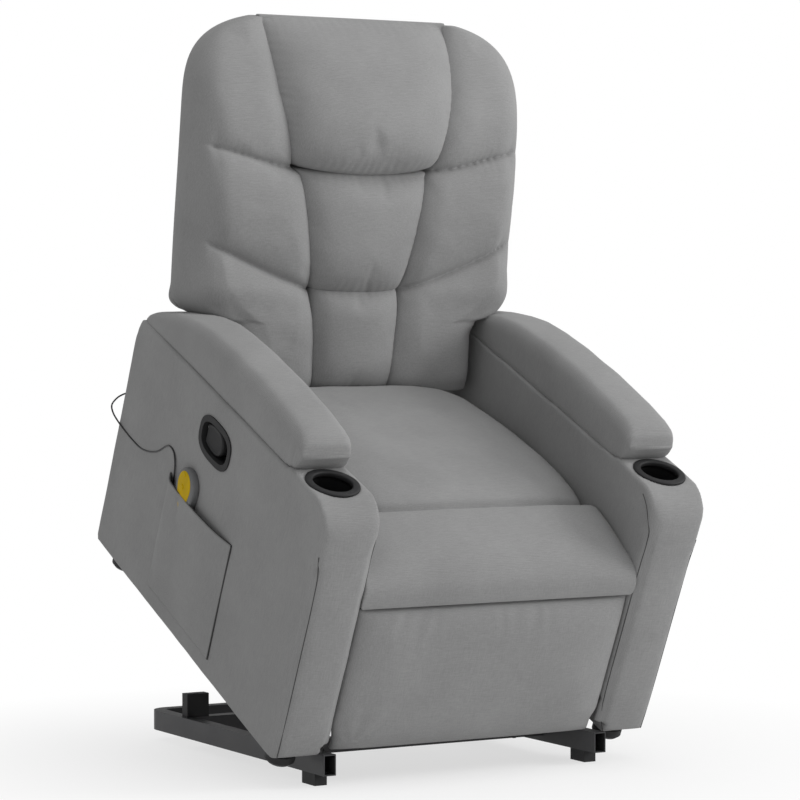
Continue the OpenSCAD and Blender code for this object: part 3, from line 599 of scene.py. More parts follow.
@dataclass(frozen=True)
class Swelling:
    """How far a stuffed piece swells under its cover."""

    pressure: float = 4.0
    cap: float = 0.02
    frames: int = 20
    evening: int = 5
    stretch_stiffness: float = 22.0
    shear_stiffness: float = 12.0
    bending_stiffness: float = 0.4
    cloth_mass: float = 0.4

    def swell(self, piece: bpy.types.Object, held: Callable[[Vector], float]) -> None:
        """Run a cloth simulation on a piece and keep its result, evened and held under the cap.

        Args:
            piece: A closed mesh, a little smaller than its final form.
            held: Returns how firmly a point is held, from 0 to 1.
        """
        start = points_of(piece).copy()
        pins = piece.vertex_groups.new(name="held")
        for i, co in enumerate(start):
            weight = held(Vector(co))
            if weight > 0:
                pins.add([i], weight, "REPLACE")
        cloth = piece.modifiers.new("cloth", "CLOTH")
        settings = cloth.settings
        settings.use_pressure = True
        settings.uniform_pressure_force = self.pressure
        settings.effector_weights.gravity = 0.0
        settings.quality = 5
        settings.mass = self.cloth_mass
        settings.tension_stiffness = settings.compression_stiffness = self.stretch_stiffness
        settings.shear_stiffness = self.shear_stiffness
        settings.bending_stiffness = self.bending_stiffness
        settings.vertex_group_mass = "held"
        scene = bpy.context.scene
        for step in range(1, self.frames + 1):
            scene.frame_set(step)
        apply_modifiers(piece)
        scene.frame_set(1)
        piece.vertex_groups.clear()
        moved = (points_of(piece) - start).astype(float)
        ends = np.array([edge.vertices[:] for edge in piece.data.edges])
        for _ in range(self.evening):
            total, count = np.zeros_like(moved), np.zeros((len(moved), 1))
            for a, b in ((0, 1), (1, 0)):
                np.add.at(total, ends[:, a], moved[ends[:, b]])
                np.add.at(count, ends[:, a], 1)
            moved = 0.5 * moved + 0.5 * total / np.maximum(count, 1)
        size = np.linalg.norm(moved, axis=1, keepdims=True)
        share = np.minimum(1.0, self.cap / np.maximum(size, 1e-9))
        set_points(piece, start + moved * share)


def tube_along(name: str, line: Sequence[Vector], radius: float | Callable[[float], float],
               sides: int = 12) -> bpy.types.Object:
    """Sweep a round tube along row-frame points.

    Args:
        name: The piece's name.
        line: Points in metres.
        radius: One radius, or a function of the share along the line.
        sides: Sides of the section.

    Returns:
        The tube, closed at both ends.
    """
    points, faces, side = [], [], Vector((0, 0, 1))
    last = len(line) - 1
    for i, p in enumerate(line):
        along = (line[min(i + 1, last)] - line[max(i - 1, 0)]).normalized()
        side = (side - along * side.dot(along)).normalized()
        other = along.cross(side)
        r = radius(i / last) if callable(radius) else radius
        points += [p + r * (side * math.cos(a) + other * math.sin(a))
                   for a in (2 * math.pi * k / sides for k in range(sides))]
    for i in range(last):
        for k in range(sides):
            a, b = i * sides + k, i * sides + (k + 1) % sides
            faces.append((a, b, b + sides, a + sides))
    faces += [tuple(range(sides - 1, -1, -1)), tuple(last * sides + k for k in range(sides))]
    return add_mesh(name, points, faces, Matrix.Identity(4))


def smooth_line(knots: Sequence[Point], steps: int, place: Matrix) -> list[Vector]:
    """Return a smooth row-frame line through local knots."""
    p = [place @ Vector(k) for k in knots]
    line: list[Vector] = []
    for i in range(len(p) - 1):
        a, b, c, d = p[max(i - 1, 0)], p[i], p[i + 1], p[min(i + 2, len(p) - 1)]
        for k in range(steps):
            t = k / steps
            line.append(0.5 * (2 * b + (c - a) * t + (2 * a - 5 * b + 4 * c - d) * t * t
                               + (3 * b - a - 3 * c + d) * t ** 3))
    return line + [p[-1]]


def take_place(piece: bpy.types.Object, body: str, slot: str, *nodes: str) -> bpy.types.Object:
    """Finish a piece: its finish, what it rides on and what it replaces.

    Args:
        piece: The object.
        body: The CAD body it rides on.
        slot: The record's material slot.
        *nodes: CAD nodes it stands for.

    Returns:
        The same object.
    """
    if not piece.data.materials:
        FINISHES.dress(piece, slot)
    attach(piece, body)
    if nodes:
        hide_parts(*nodes)
    LOG.info("%s rides on %s (%s)", piece.name, body, slot)
    return piece


def sew_line(name: str, line: Sequence[Vector], radius: float) -> bpy.types.Object:
    """Make a thin dark tube along a seam of the chair's body: painted shade of the seam.

    Args:
        name: The piece's name.
        line: Points in metres.
        radius: The tube's radius in millimetres.

    Returns:
        The tube.
    """
    made = tube_along(name, line, radius * MM, 8)
    made.data.materials.append(FINISHES.thread)
    return take_place(made, "chair", "linen")


# ---------------------------------------------------------------- camera and stage


@dataclass(frozen=True)
class Studio:
    """The camera, the floor and the lamps."""

    yaw: float = -29.8785
    pitch: float = 1.8991
    place: tuple[float, float, float] = (-2.8501, -4.9949, 0.8485)
    lens: float = 140.724
    floor_reach: float = 9.0
    surround: float = 0.5

    def camera(self) -> None:
        """Make the camera."""
        a, e = math.radians(self.yaw), math.radians(self.pitch)
        back = Vector((math.sin(a) * math.cos(e), -math.cos(a) * math.cos(e), math.sin(e)))
        right = Vector((math.cos(a), math.sin(a), 0.0))
        up = back.cross(right)
        data = bpy.data.cameras.new("camera")
        data.lens, data.sensor_width = self.lens, 36.0
        data.clip_start, data.clip_end = 0.1, 60.0
        made = bpy.data.objects.new("camera", data)
        made.matrix_world = Matrix((
            (right.x, up.x, back.x, self.place[0]), (right.y, up.y, back.y, self.place[1]),
            (right.z, up.z, back.z, self.place[2]), (0, 0, 0, 1)))
        bpy.context.scene.collection.objects.link(made)
        bpy.context.scene.camera = made

    def area(self, name: str, at: Point, size: float, power: float) -> None:
        """Add a soft square lamp aimed at the chair."""
        data = bpy.data.lights.new(name, "AREA")
        data.shape, data.size, data.energy = "SQUARE", size, power
        lamp = bpy.data.objects.new(name, data)
        lamp.location = at
        lamp.rotation_euler = (Vector((0, 0, 0.6)) - Vector(at)).to_track_quat("-Z", "Y").to_euler()
        bpy.context.scene.collection.objects.link(lamp)

    def floor(self) -> None:
        """Make the pale floor: white to the camera, and it keeps the chair's shadow."""
        reach = self.floor_reach
        corners = [(-reach, -reach, 0), (reach, -reach, 0), (reach, reach, 0), (-reach, reach, 0)]
        made = add_mesh("studio_floor", corners, [(0, 1, 2, 3)], Matrix.Identity(4), False)
        g = NodeGraph("studio_floor")
        g.shader.inputs["Base Color"].default_value = (0.9, 0.9, 0.9, 1)
        g.shader.inputs["Roughness"].default_value = 0.9
        glow = g.node("Emission", Color=(1, 1, 1, 1), Strength=1.0)
        path = g.node("LightPath")
        seen = g.math("MAXIMUM", path.outputs["Is Camera Ray"],
                      g.math("MAXIMUM", path.outputs["Is Glossy Ray"], path.outputs["Is Transmission Ray"]))
        where = g.node("TexCoord").outputs["Object"]
        distance = g.node("VectorMath", operation="LENGTH", Vector=where).outputs["Value"]
        keep = g.math("SUBTRACT", 1.0, g.math("MULTIPLY", g.math("SUBTRACT", distance, 0.3, clamp=True), 1.2,
                                              clamp=True))
        share = g.math("MULTIPLY", seen, g.math("SUBTRACT", 1.0, g.math("MULTIPLY", keep, 0.35)))
        mix = g.node("MixShader")
        g.link(share, mix.inputs[0])
        g.link(g.shader.outputs[0], mix.inputs[1])
        g.link(glow.outputs[0], mix.inputs[2])
        g.link(mix.outputs[0], g.output.inputs["Surface"])
        made.data.materials.append(g.material)

    def world(self) -> None:
        """Make the even surrounding light, white where the camera sees it."""
        world = bpy.data.worlds.new("studio")
        bpy.context.scene.world = world
        world.use_nodes = True
        tree = world.node_tree
        tree.nodes.clear()
        out = tree.nodes.new("ShaderNodeOutputWorld")
        path = tree.nodes.new("ShaderNodeLightPath")
        soft, white, mix = (tree.nodes.new(k) for k in (
            "ShaderNodeBackground", "ShaderNodeBackground", "ShaderNodeMixShader"))
        soft.inputs["Color"].default_value = (1, 1, 1, 1)
        soft.inputs["Strength"].default_value = self.surround
        white.inputs["Color"].default_value = (1, 1, 1, 1)
        white.inputs["Strength"].default_value = 1.0
        tree.links.new(path.outputs["Is Camera Ray"], mix.inputs[0])
        tree.links.new(soft.outputs[0], mix.inputs[1])
        tree.links.new(white.outputs[0], mix.inputs[2])
        tree.links.new(mix.outputs[0], out.inputs["Surface"])

    def build(self) -> None:
        """Make the whole studio."""
        self.camera()
        self.world()
        self.floor()
        self.area("key_lamp", (5.3, -3.05, 2.8), 2.6, 188.0)
        self.area("top_lamp", (0.4, -1.3, 3.8), 1.5, 27.0)
        bpy.context.scene.view_settings.view_transform = "Standard"


# ---------------------------------------------------------------- handset and cord


@dataclass
class HandsetCord:
    """The massage handset's lead, from the rear outlet into the pocket."""

    diameter: float = 3.2
    route: tuple[Point, ...] = (
        (-238, 384, 318), (-239, 396, 318), (-252, 407, 319), (-285, 410, 322), (-330, 404, 328),
        (-366, 394, 334), (-384, 390, 331), (-391, 396, 319), (-392, 404, 303), (-391, 394, 292),
        (-389, 368, 285), (-388, 334, 282), (-388, 298, 282), (-388, 262, 285), (-388, 226, 297),
        (-388, 196, 314), (-388, 170, 337), (-389, 152, 346), (-390, 132, 344), (-391, 119, 331),
        (-391, 113, 312), (-391, 110, 284), (-391, 108, 244), (-391, 104, 206), (-391, 95, 176),
        (-391, 77, 160), (-391, 61, 164), (-391.5, 54.5, 176), (-391.5, 54, 190))

    def build(self) -> bpy.types.Object:
        line = smooth_line(self.route, 5, PLACES.chair())
        made = tube_along("handset_lead", line, self.diameter / 2 * MM, 12)
        take_place(made, "chair", "cord_black", "handset_cord")
        length = sum((b - a).length for a, b in zip(line, line[1:]))
        LOG.info("handset lead length %.3f m", length)
        tuple(line[0])
        [tuple(p) for p in line]
        return made


# ---------------------------------------------------------------- backrest


@dataclass
class Backrest:
    """The backrest's covers: two wings, pillow, lumbar and waist panels, and the rear shell."""

    half_width: float = 345.0
    low_half_width: float = 272.0
    flare: float = 9.0
    step: tuple[float, float] = (166.0, 170.0)
    corner: float = 52.0
    corner_from: float = 545.0
    top: float = 725.0
    plane: float = 5.5
    lining: float = 6.5
    tuck: float = 16.0
    edge_table: Outline = (
        (30, 82), (222, 89), (330, 112), (440, 132), (452, 149), (590, 176), (722, 196), (745, 200))

    def half_w(self, s: float) -> float:
        """Return the half width at a height along the lean."""
        if s > self.corner_from:
            k = (s - self.corner_from) / (self.top + 8 - self.corner_from)
            return self.half_width * max(0.0, 1 - k ** 3.5) ** (1 / 3.5)
        if s > self.step[1]:
            k = max(0.0, self.step[1] + self.corner - s) / (self.corner + 1)
            return self.half_width - self.corner * (1 - math.sqrt(1 - k * k))
        k = (s - self.step[0]) / (self.step[1] - self.step[0])
        if k < 0:
            return self.low_half_width + self.flare * smooth((s - self.step[0] + 28) / 28)
        return blend(self.low_half_width + self.flare, self.half_width - self.corner * 0.8, smooth(k))

    def front_t(self, x: float, s: float) -> float:
        """Return the thickness in front of the hinge plane before crowns and channels."""
        return 102 - max(0.0, s - 430) ** 2 * (0.0011 + 0.00008 * (x / self.half_width) ** 2)

    def seam_x(self, s: float) -> float:
        """Return the wings' inner edge at a height."""
        return float(np.interp(s, [p[0] for p in self.edge_table], [p[1] for p in self.edge_table]))

    def heights(self, top: float, low: float) -> list[float]:
        """Return the rows' heights, closer together round the corners.

        Args:
            top: The highest row.
            low: The lowest row.

        Returns:
            Heights along the lean.
        """
        foot, shoulder = self.step
        round_end = shoulder + self.corner
        spans = ((low, foot, 30), (shoulder, round_end, 17), (round_end + 3, 690.0, 122), (692.5, top, 12))
        return [blend(a, b, i / (n - 1)) for a, b, n in spans for i in range(n)]

    @staticmethod
    def channels(k: float) -> tuple[float, float]:
        """Return the heights of a wing's two sewn channels at a share across it."""
        lower = blend(224, 322, smooth(k * 0.9) * 0.35 + k * 0.65)
        upper = blend(450, 492, smooth(k) * 0.5 + k * 0.5)
        return lower, upper

    def wing(self, side: Side) -> bpy.types.Object:
        """Make one wing with its two sewn channels and their gathers.

        Args:
            side: Which wing.

        Returns:
            The wing.
        """
        sign = side.value
        rows = self.heights(721.0, 30.0)
        nv, full = len(rows) - 1, 0.56

        def across(u: float, s: float) -> tuple[float, float, float]:
            """Return the inner edge, the place across and the roundness of the outer edge."""
            inner = self.seam_x(s) - self.tuck
            outer = max(self.half_w(s), inner + self.tuck)
            span = min(62.0, (outer - inner) * 0.5)
            if u < full:
                return inner, blend(inner, outer - span, u / full), 1.0
            a = math.radians(86 * (u - full) / (1 - full))
            return inner, outer - span * (1 - math.sin(a) ** 0.85), blend(0.2, 1, math.cos(a) ** 0.7)

        def front(u: float, v: float) -> Point:
            """Return the wing's shown face."""
            s = rows[round(v * nv)]
            inner, x, edge = across(u, s)
            inner += 13
            k = max(0.0, (x - inner) / (self.half_width - inner))
            reach = smooth((1.0 - k) * 5.5)
            pads, gather = 1.0, 0.0
            for c in self.channels(k):
                d = abs(s - c)
                pads *= 1 - reach * (1 - sewn(d, 105) ** 0.85)
                patch = smooth(0.5 + 1.6 * wobble(x, s, c + sign * 31, 70))
                crimp = math.sin(x * 0.47 + 3 * wobble(x, s, c + sign * 40, 26))
                gather += math.exp(-d / 14) * crimp * reach * patch
                away = math.hypot(x - inner, s - c)
                gather += 1.2 * math.exp(-away / 48) * (1 - math.exp(-away / 9)) * math.sin(
                    8 * math.atan2(s - c, x - inner + 6) + 2 * wobble(x, s, c, 40) + sign)
            seam_shade = 1 - sewn(x - inner, 52) ** 0.85 + max(0.0, inner - x) / 14
            puff = 9 * smooth((s - 186) / 50) * math.sin(math.pi * blend(0.05, 0.62, u)) ** 0.7
            foot = 10 * hump(s - 30, 18)
            folds = 1.3 * wobble(x, s, sign * 9.0, 75) + 0.6 * wobble(x, s, sign * 5.0, 33)
            t = (self.front_t(x, s) + puff + 10 * pads - 24 * (1 - pads) - 26 * seam_shade - foot
                 + 0.9 * gather + folds) * edge
            return sign * x, -max(t, 7.0), s

        def rear(u: float, v: float) -> Point:
            """Return the wing's rear face."""
            s = rows[round(v * nv)]
            inner, x, _ = across(u, s)
            return sign * (inner + (x - inner) * 0.97), self.plane, s

        made = crowned(f"wing_cover_{side.word}", 60, nv, front, [
            lambda p: (p[0] * (1.004 if abs(p[0]) > 260 else 1), blend(p[1], self.plane, 0.4), p[2]),
            lambda p: (p[0] * (0.998 if abs(p[0]) > 260 else 1), blend(p[1], self.plane, 0.82), p[2]),
        ], rear, PLACES.back())
        inverse = PLACES.back().inverted()
        Swelling(2.5, 0.005).swell(made, lambda p: 1.0 if (inverse @ p).y > -8 else 0.0)
        subdivide(made)
        return take_place(made, "back", "linen", f"back_wing_{side.word}")

    def middle(self, name: str, node: str, s0: float, s1: float, sag: float, rise: float,
               cells: tuple[int, int], bulge: float = 0.0, round_at: float = 3.0,
               corner: float = 12.0) -> bpy.types.Object:
        """Make one of the pieces between the wings.

        Args:
            name: The piece's name.
            node: The CAD node it replaces.
            s0: Its lower edge's height.
            s1: Its upper edge's height.
            sag: How far the lower edge bows down.
            rise: How far its middle stands proud.
            cells: Cells across and up.
            bulge: How far its sides swell over the wings.
            round_at: How boxy its crown is; 2 is an even dome.
            corner: Radius of its corners, apart from those at the backrest's top.

        Returns:
            The piece.
        """
        def spot(u: float, v: float) -> tuple[float, float]:
            """Return the place across and up for two shares."""
            k, s = 2 * u - 1, blend(s0, s1, v)
            half = self.seam_x(s) + 2.5 + bulge * math.sin(math.pi * v) ** 0.8
            near = max(0.0, 1 - min(s - s0, s1 - s if s1 < self.top else 99.0) / corner)
            half -= corner * 0.62 * (1 - math.sqrt(1 - near * near))
            return k * half, s - sag * (1 - k * k) * (1 - v)

        def front(u: float, v: float) -> Point:
            """Return the shown face."""
            x, s = spot(u, v)
            k, m = abs(2 * u - 1), abs(2 * v - 1)
            crown = max(0.0, 1 - k ** round_at) ** 0.5 * max(0.0, 1 - m ** (round_at + 1)) ** 0.5
            pucker = 0.9 * math.exp(-(1 - k) / 0.09) * math.sin(s * 0.4 + 3 * wobble(x, s, 3.0, 30))
            pucker += 1.0 * math.exp(-(1 - m) / 0.1) * math.sin(x * 0.36 + 3 * wobble(x, s, 7.0, 34))
            folds = 1.2 * wobble(x, s, 21.0, 70) + 0.6 * wobble(x, s, 11.0, 30)
            t = self.front_t(x, s) - 24 + (rise + 24) * crown + (1.6 * pucker + folds) * min(1.0, 2 * crown)
            return x, -max(t, 7.0), s

        def rear(u: float, v: float) -> Point:
            """Return the rear face."""
            x, s = spot(u, v)
            return x, self.plane, s

        made = crowned(name, *cells, front, [
            lambda p: (p[0], blend(p[1], self.plane, 0.5), p[2]),
            lambda p: (p[0], blend(p[1], self.plane, 0.9), p[2]),
        ], rear, PLACES.back())
        inverse = PLACES.back().inverted()
        Swelling(2.5, 0.006).swell(made, lambda p: 1.0 if (inverse @ p).y > -8 else 0.0)
        subdivide(made)
        return take_place(made, "back", "linen", node)

    def shell(self) -> bpy.types.Object:
        """Make the cloth-covered rear of the backrest."""
        rows = self.heights(721.0, 40.0)
        nv = len(rows) - 1

        def half(s: float) -> float:
            """Return the shell's half width."""
            return self.half_w(s) - blend(4, 16, smooth((s - 183) / 40))

        def front(u: float, v: float) -> Point:
            """Return the shell's rear-facing surface."""
            s, k = rows[round(v * nv)], abs(2 * u - 1)
            up = (s - 40) / 673
            deep = 26 + 26 * (1 - k ** 4) ** 0.5 * math.sin(math.pi * blend(0.08, 0.92, up)) ** 0.25
            x = (2 * u - 1) * 300
            folds = 1.6 * wobble(x, s, 41.0, 90) + 0.6 * wobble(x, s, 4.0, 35)
            return (2 * u - 1) * half(s), deep + folds * (1 - k ** 6), s

        def rear(u: float, v: float) -> Point:
            """Return the shell's flat inner surface."""
            s = rows[round(v * nv)]
            return (2 * u - 1) * half(s), self.lining, s

        made = crowned("back_cover", 56, nv, front, [
            lambda p: (p[0], blend(p[1], self.lining, 0.35), p[2]),
            lambda p: (p[0], blend(p[1], self.lining, 0.8), p[2]),
        ], rear, PLACES.back())
        return take_place(made, "back", "linen", "back_shell")

    def build(self) -> None:
        """Make the whole backrest."""
        for side in Side:
            self.wing(side)
        self.middle("head_cushion", "head_pillow", 453, self.top, 14, 47, (80, 64), 16.0, 3.6, 26.0)
        self.middle("lumbar_cushion", "lumbar_panel", 220, 450, 6, 26, (56, 50), 13.0, 3.0, 16.0)
        self.middle("waist_cushion", "waist_panel", 32, 232, 3, 19, (40, 40), 7.0, 3.2)
        self.shell()


# ---------------------------------------------------------------- seat and footrest


@dataclass
class SeatCushion:
    """The seat cushion with its front roll."""

    half_width: float = 277.0
    underside: float = 324.7
    rear_edge: float = 213.0
    tail: float = 12.0
    profile: Outline = (
        (-421, 352), (-419, 366), (-413, 378), (-403, 392), (-388, 406), (-365, 420), (-335, 431),
        (-305, 438), (-284, 440), (-272, 433), (-258, 444), (-225, 453), (-150, 459), (-60, 460),
        (40, 455), (130, 446), (200, 437), (214, 432))

    def along(self, v: float) -> tuple[float, float]:
        """Return the side-view point a share along the profile."""
        steps = [0.0]
        for a, b in zip(self.profile, self.profile[1:]):
            steps.append(steps[-1] + math.dist(a, b))
        at = v * steps[-1]
        return (float(np.interp(at, steps, [p[0] for p in self.profile])),
                float(np.interp(at, steps, [p[1] for p in self.profile])))

    def tail_at(self, y: float) -> float:
        """Return how far the cushion's side reaches back under the backrest's foot."""
        return self.tail * smooth((y - self.rear_edge + 21) / 18)

    def ring(self, wider: float, ahead: float, down: float) -> Callable[[Point], Point]:
        """Return a ring of the cushion's side.

        Args:
            wider: How much wider than the upper face's border it is.
            ahead: How far its front stands ahead.
            down: Its share of the way to the underside.

        Returns:
            The turn from a border point to the ring's point.
        """
        return lambda p: (p[0] * wider, p[1] + (ahead if p[1] < -400 else 0) + self.tail_at(p[1]),
                          blend(p[2], self.underside, down))

    def build(self) -> bpy.types.Object:
        """Make the cushion."""
        def front(u: float, v: float) -> Point:
            """Return the cushion's upper face."""
            y, z = self.along(v)
            k = abs(2 * u - 1)
            x = (2 * u - 1) * self.half_width
            sink = blend(50, 25, smooth((-255 - y) / 55)) * k ** 4 * smooth((y + 440) / 75)
            crease = 6 * hump(y + 272, 7)
            back = 60 * k ** 4 * (smooth((y + 421) / 149) if y < -272 else smooth((-30 - y) / 242))
            folds = 1.6 * wobble(x, y, 2.0, 90) + 0.7 * wobble(x, y, 6.0, 34)
            tuck = 1.3 * hump(y + 262, 20) * math.sin(x * 0.21 + 4 * wobble(x, y, 1.0, 40)) * k ** 2
            return x, y + back, z - sink - crease + (folds + tuck) * smooth((1 - k) * 8)

        def rear(u: float, v: float) -> Point:
            """Return the flat underside."""
            y, _ = self.along(v)
            held = max(-417.0, min(y, self.rear_edge)) + self.tail_at(y) * 11 / 12
            return (2 * u - 1) * self.half_width * 0.995, held, self.underside

        made = crowned("seat_cover", 90, 120, front,
                       [self.ring(1.003, 1, 0.35), self.ring(1.002, 2, 0.75)], rear, PLACES.chair())
        inverse = PLACES.chair().inverted()
        Swelling(4.0, 0.008).swell(made, lambda p: 1.0 if (inverse @ p).z < 327 else 0.0)
        subdivide(made)
        return take_place(made, "chair", "linen", "seat_cushion")


@dataclass
class FootrestPad:
    """The padded panel on the footrest board."""

    half_width: float = 274.0
    low_half_width: float = 266.0
    low: float = 38.0
    high: float = 320.0
    board: float = -398.3

    def half(self, z: float) -> float:
        """Return the half width at a height: narrower where it passes between the base's rails."""
        return blend(self.low_half_width, self.half_width, smooth((z - 60) / 34))

    def build(self) -> bpy.types.Object:
        """Make the pad."""
        def front(u: float, v: float) -> Point:
            """Return the pad's shown face."""
            k = abs(2 * u - 1)
            z = blend(self.low, self.high, v)
            x = (2 * u - 1) * self.half(z)
            crown = (1 - k ** 6) ** 0.5 * max(0.0, 1 - abs(2 * v - 1) ** 5) ** 0.5
            patch = smooth(0.6 + 1.5 * wobble(x, 4.0, 2.0, 120))
            crimp = math.sin(x * 0.19 + 3 * wobble(x, z, 8.0, 60))
            gather = 1.6 * math.exp(-(self.high - z) / 32) * crimp * patch
            rays = math.atan2(z - 52, 235 + x)
            corner = 2.4 * math.exp(-math.hypot(235 + x, z - 52) / 75) * math.sin(rays * 9 + 1.0)
            ripple = math.sin(z * 0.13 + 3 * wobble(x, z, 5.0, 40))
            corner += 1.6 * hump(k - 0.95, 0.1) * ripple * smooth((190 - z) / 90)
            folds = 1.3 * wobble(x, z, 14.0, 80)
            return x, -407 - 24.5 * crown + (gather + corner + folds) * crown, z

        def rear(u: float, v: float) -> Point:
            """Return the pad's rear face."""
            z = blend(self.low, self.high, v)
            return (2 * u - 1) * self.half(z), self.board, z

        made = crowned("footrest_cover", 90, 60, front, [], rear, PLACES.chair())
        subdivide(made)
        return take_place(made, "footrest", "linen", "footrest_pad")


# ---------------------------------------------------------------- arms


@dataclass
class ArmCovers:
    """The upholstered arms and their pads."""

    outer: float = 385.0
    inner: float = 280.0
    cup_y: float = -329.0
    cup_room: float = 47.0
    pad_half: float = 52.0
    pad_ends: tuple[float, float] = (-289.0, 360.0)
    front_line: Outline = (
        (-417.2, 38), (-417.2, 130), (-417.2, 250), (-417.2, 340), (-417.2, 400),
        (-416, 430), (-408, 456), (-392, 482), (-371, 503))
    pad_low: Outline = (
        (-289, 548), (-283, 532), (-273, 519), (-262, 516), (-240, 511), (322, 499), (360, 499))
    pad_high: Outline = (
        (-289, 556), (-284, 574), (-272, 585), (-250, 591), (-200, 597), (-90, 602), (20, 600),
        (104, 595), (170, 586), (227, 571), (290, 549), (330, 533), (350, 519), (360, 508))

    @property
    def middle(self) -> float:
        """Return the place across of an arm's middle."""
        return (self.outer + self.inner) / 2

    def arm(self, side: Side) -> bpy.types.Object:
        """Make one arm's cover from its solid, softened and slightly stuffed.

        Args:
            side: Which arm.

        Returns:
            The arm.
        """
        nodes = (f"arm_{side.word}", f"arm_panel_{side.word}")
        home, joined = PLACES.chair().inverted(), bmesh.new()
        for node in nodes:
            part = frame["nodes"][node]
            mesh = part.data.copy()
            mesh.transform(home @ part.matrix_world)
            for v in mesh.vertices:
                if "panel" in node and abs(abs(v.co.x) - 296) < 0.5:
                    v.co.x += 2.0 * side.value
            joined.from_mesh(mesh)
            bpy.data.meshes.remove(mesh)
        mesh = bpy.data.meshes.new(f"arm_cover_{side.word}")
        joined.to_mesh(mesh)
        joined.free()
        made = bpy.data.objects.new(mesh.name, mesh)
        bpy.context.scene.collection.objects.link(made)
        remesh = made.modifiers.new("remesh", "REMESH")
        remesh.mode, remesh.voxel_size = "VOXEL", 4.0
        soften = made.modifiers.new("soften", "SMOOTH")
        soften.factor, soften.iterations = 0.5, 5
        apply_modifiers(made)
        self.drop_cavity(made)
        self.stuff(made, side)
        skin = points_of(made).astype(float)
        made.data.transform(PLACES.chair())
        made.data.materials.clear()
        # Thin dark tubes along the outer and inner front corners: painted shade of the seams.
        for word, way, knots in (("outer", 1.0, self.front_line[:-3]), ("inner", -1.0, self.front_line)):
            seam_shade = smooth_line(self.corner_line(skin, way, knots), 3, PLACES.chair())
            sew_line(f"arm_{word}_seam_{side.word}", seam_shade, 0.8)
        return take_place(made, "chair", "linen", *nodes)

    @classmethod
    def corner_line(cls, skin: Array, way: float, knots: Sequence[tuple[float, float]]) -> list[Point]:
        """Return an evened line along one of the front corners.

        Args:
            skin: The cover's points in chair-body millimetres.
            way: 1 for the outer corner, -1 for the inner one.
            knots: Places in the side view, from the foot up.

        Returns:
            Points along the corner.
        """
        path = smooth_line([(0.0, y, z) for y, z in knots], 6, Matrix())
        line = np.array([cls.corner_at(skin, way, p.y, p.z) for p in path])
        for _ in range(10):
            line[1:-1] = 0.25 * line[:-2] + 0.5 * line[1:-1] + 0.25 * line[2:]
        line[:, 0] -= 0.25 * way * np.sign(line[:, 0])
        return [tuple(float(c) for c in p) for p in line]

    @staticmethod
    def corner_at(skin: Array, way: float, y: float, z: float) -> Point:
        """Return the point of a front corner nearest a place in the side view.

        Args:
            skin: The cover's points in chair-body millimetres.
            way: 1 for the outer corner, -1 for the inner one.
            y: Place along the chair.
            z: Height.

        Returns:
            The corner's point.
        """
        ahead = Vector((0.0, y + 250, max(0.0, z - 330))).normalized()
        near = np.hypot(skin[:, 1] - y, skin[:, 2] - z) < 13
        points = skin[near]
        score = way * np.abs(points[:, 0]) + points[:, 1] * ahead.y + points[:, 2] * ahead.z
        best = points[int(np.argmax(score))]
        return float(best[0]), float(best[1]), z + float(best[2] - z) * 0.2

    @staticmethod
    def drop_cavity(piece: bpy.types.Object) -> None:
        """Keep only the outer skin of a remeshed hollow piece."""
        skin = bmesh.new()
        skin.from_mesh(piece.data)
        skin.verts.ensure_lookup_table()
        group = [-1] * len(skin.verts)
        sizes: list[int] = []
        for seed in skin.verts:
            if group[seed.index] >= 0:
                continue
            group[seed.index], stack, count = len(sizes), [seed], 0
            while stack:
                at = stack.pop()
                count += 1
                for edge in at.link_edges:
                    other = edge.other_vert(at)
                    if group[other.index] < 0:
                        group[other.index] = len(sizes)
                        stack.append(other)
            sizes.append(count)
        keep = sizes.index(max(sizes))
        bmesh.ops.delete(skin, geom=[v for v in skin.verts if group[v.index] != keep], context="VERTS")
        skin.to_mesh(piece.data)
        skin.free()
        piece.data.polygons.foreach_set("use_smooth", [True] * len(piece.data.polygons))

    def stuff(self, piece: bpy.types.Object, side: Side) -> None:
        """Swell an arm's faces a little, sink its seams and crease its cloth.

        Args:
            piece: The arm's skin in chair-body millimetres.
            side: Which arm.
        """
        co = points_of(piece).astype(float)
        normal = np.empty(co.size)
        piece.data.vertices.foreach_get("normal", normal)
        normal = normal.reshape(-1, 3)
        x, y, z = co[:, 0] * side.value, co[:, 1], co[:, 2]
        out = np.clip((normal[:, 0] * side.value - 0.6) / 0.4, 0, 1)
        ahead = np.clip((-normal[:, 1] - 0.6) / 0.4, 0, 1)
        dome = np.clip(1 - ((y + 25) / 402) ** 4, 0, 1) * np.clip(1 - ((z - 255) / 245) ** 4, 0, 1)
        lift = 1.2 + 1.6 * out * np.sqrt(dome)
        inward = np.clip((-normal[:, 0] * side.value - 0.3) / 0.7, 0, 1)
        lift += 4.5 * inward * np.clip((-y - 270) / 90, 0, 1)
        belly = np.sqrt(np.clip(1 - ((x - self.middle) / 53) ** 2, 0, 1))
        lift += 6.5 * ahead * belly * np.clip((z - 30) / 60, 0, 1)
        edge = np.hypot(x - self.outer + 3, y + 417) + 60 * np.clip((z - 410) / 40, 0, 1)
        lift -= 4.5 * np.exp(-(edge / 8.0) ** 2)
        fold = np.interp(z, [p[1] for p in self.front_line], [p[0] for p in self.front_line])
        groove = np.exp(-((x - self.inner - 5) / 6.0) ** 2 - ((y - fold) / 9.0) ** 2)
        lift -= 3.2 * groove * np.clip((512 - z) / 20, 0, 1)
        lift -= 1.4 * ahead * np.exp(-((z - 430) / 5.0) ** 2)
        for i, (a, b, c) in enumerate(zip(x, y, z)):
            lift[i] += 0.9 * wobble(a, b, c, 95, side.value * 3.0) + 0.35 * wobble(a, b, c, 38, 5.0)
            near = max(0.0, 1 - abs(c - 500) / 22) if b > -262 else 0.0
            lift[i] += 0.6 * near * wobble(a, b * 2.4, c * 0.5, 16, 9.0)
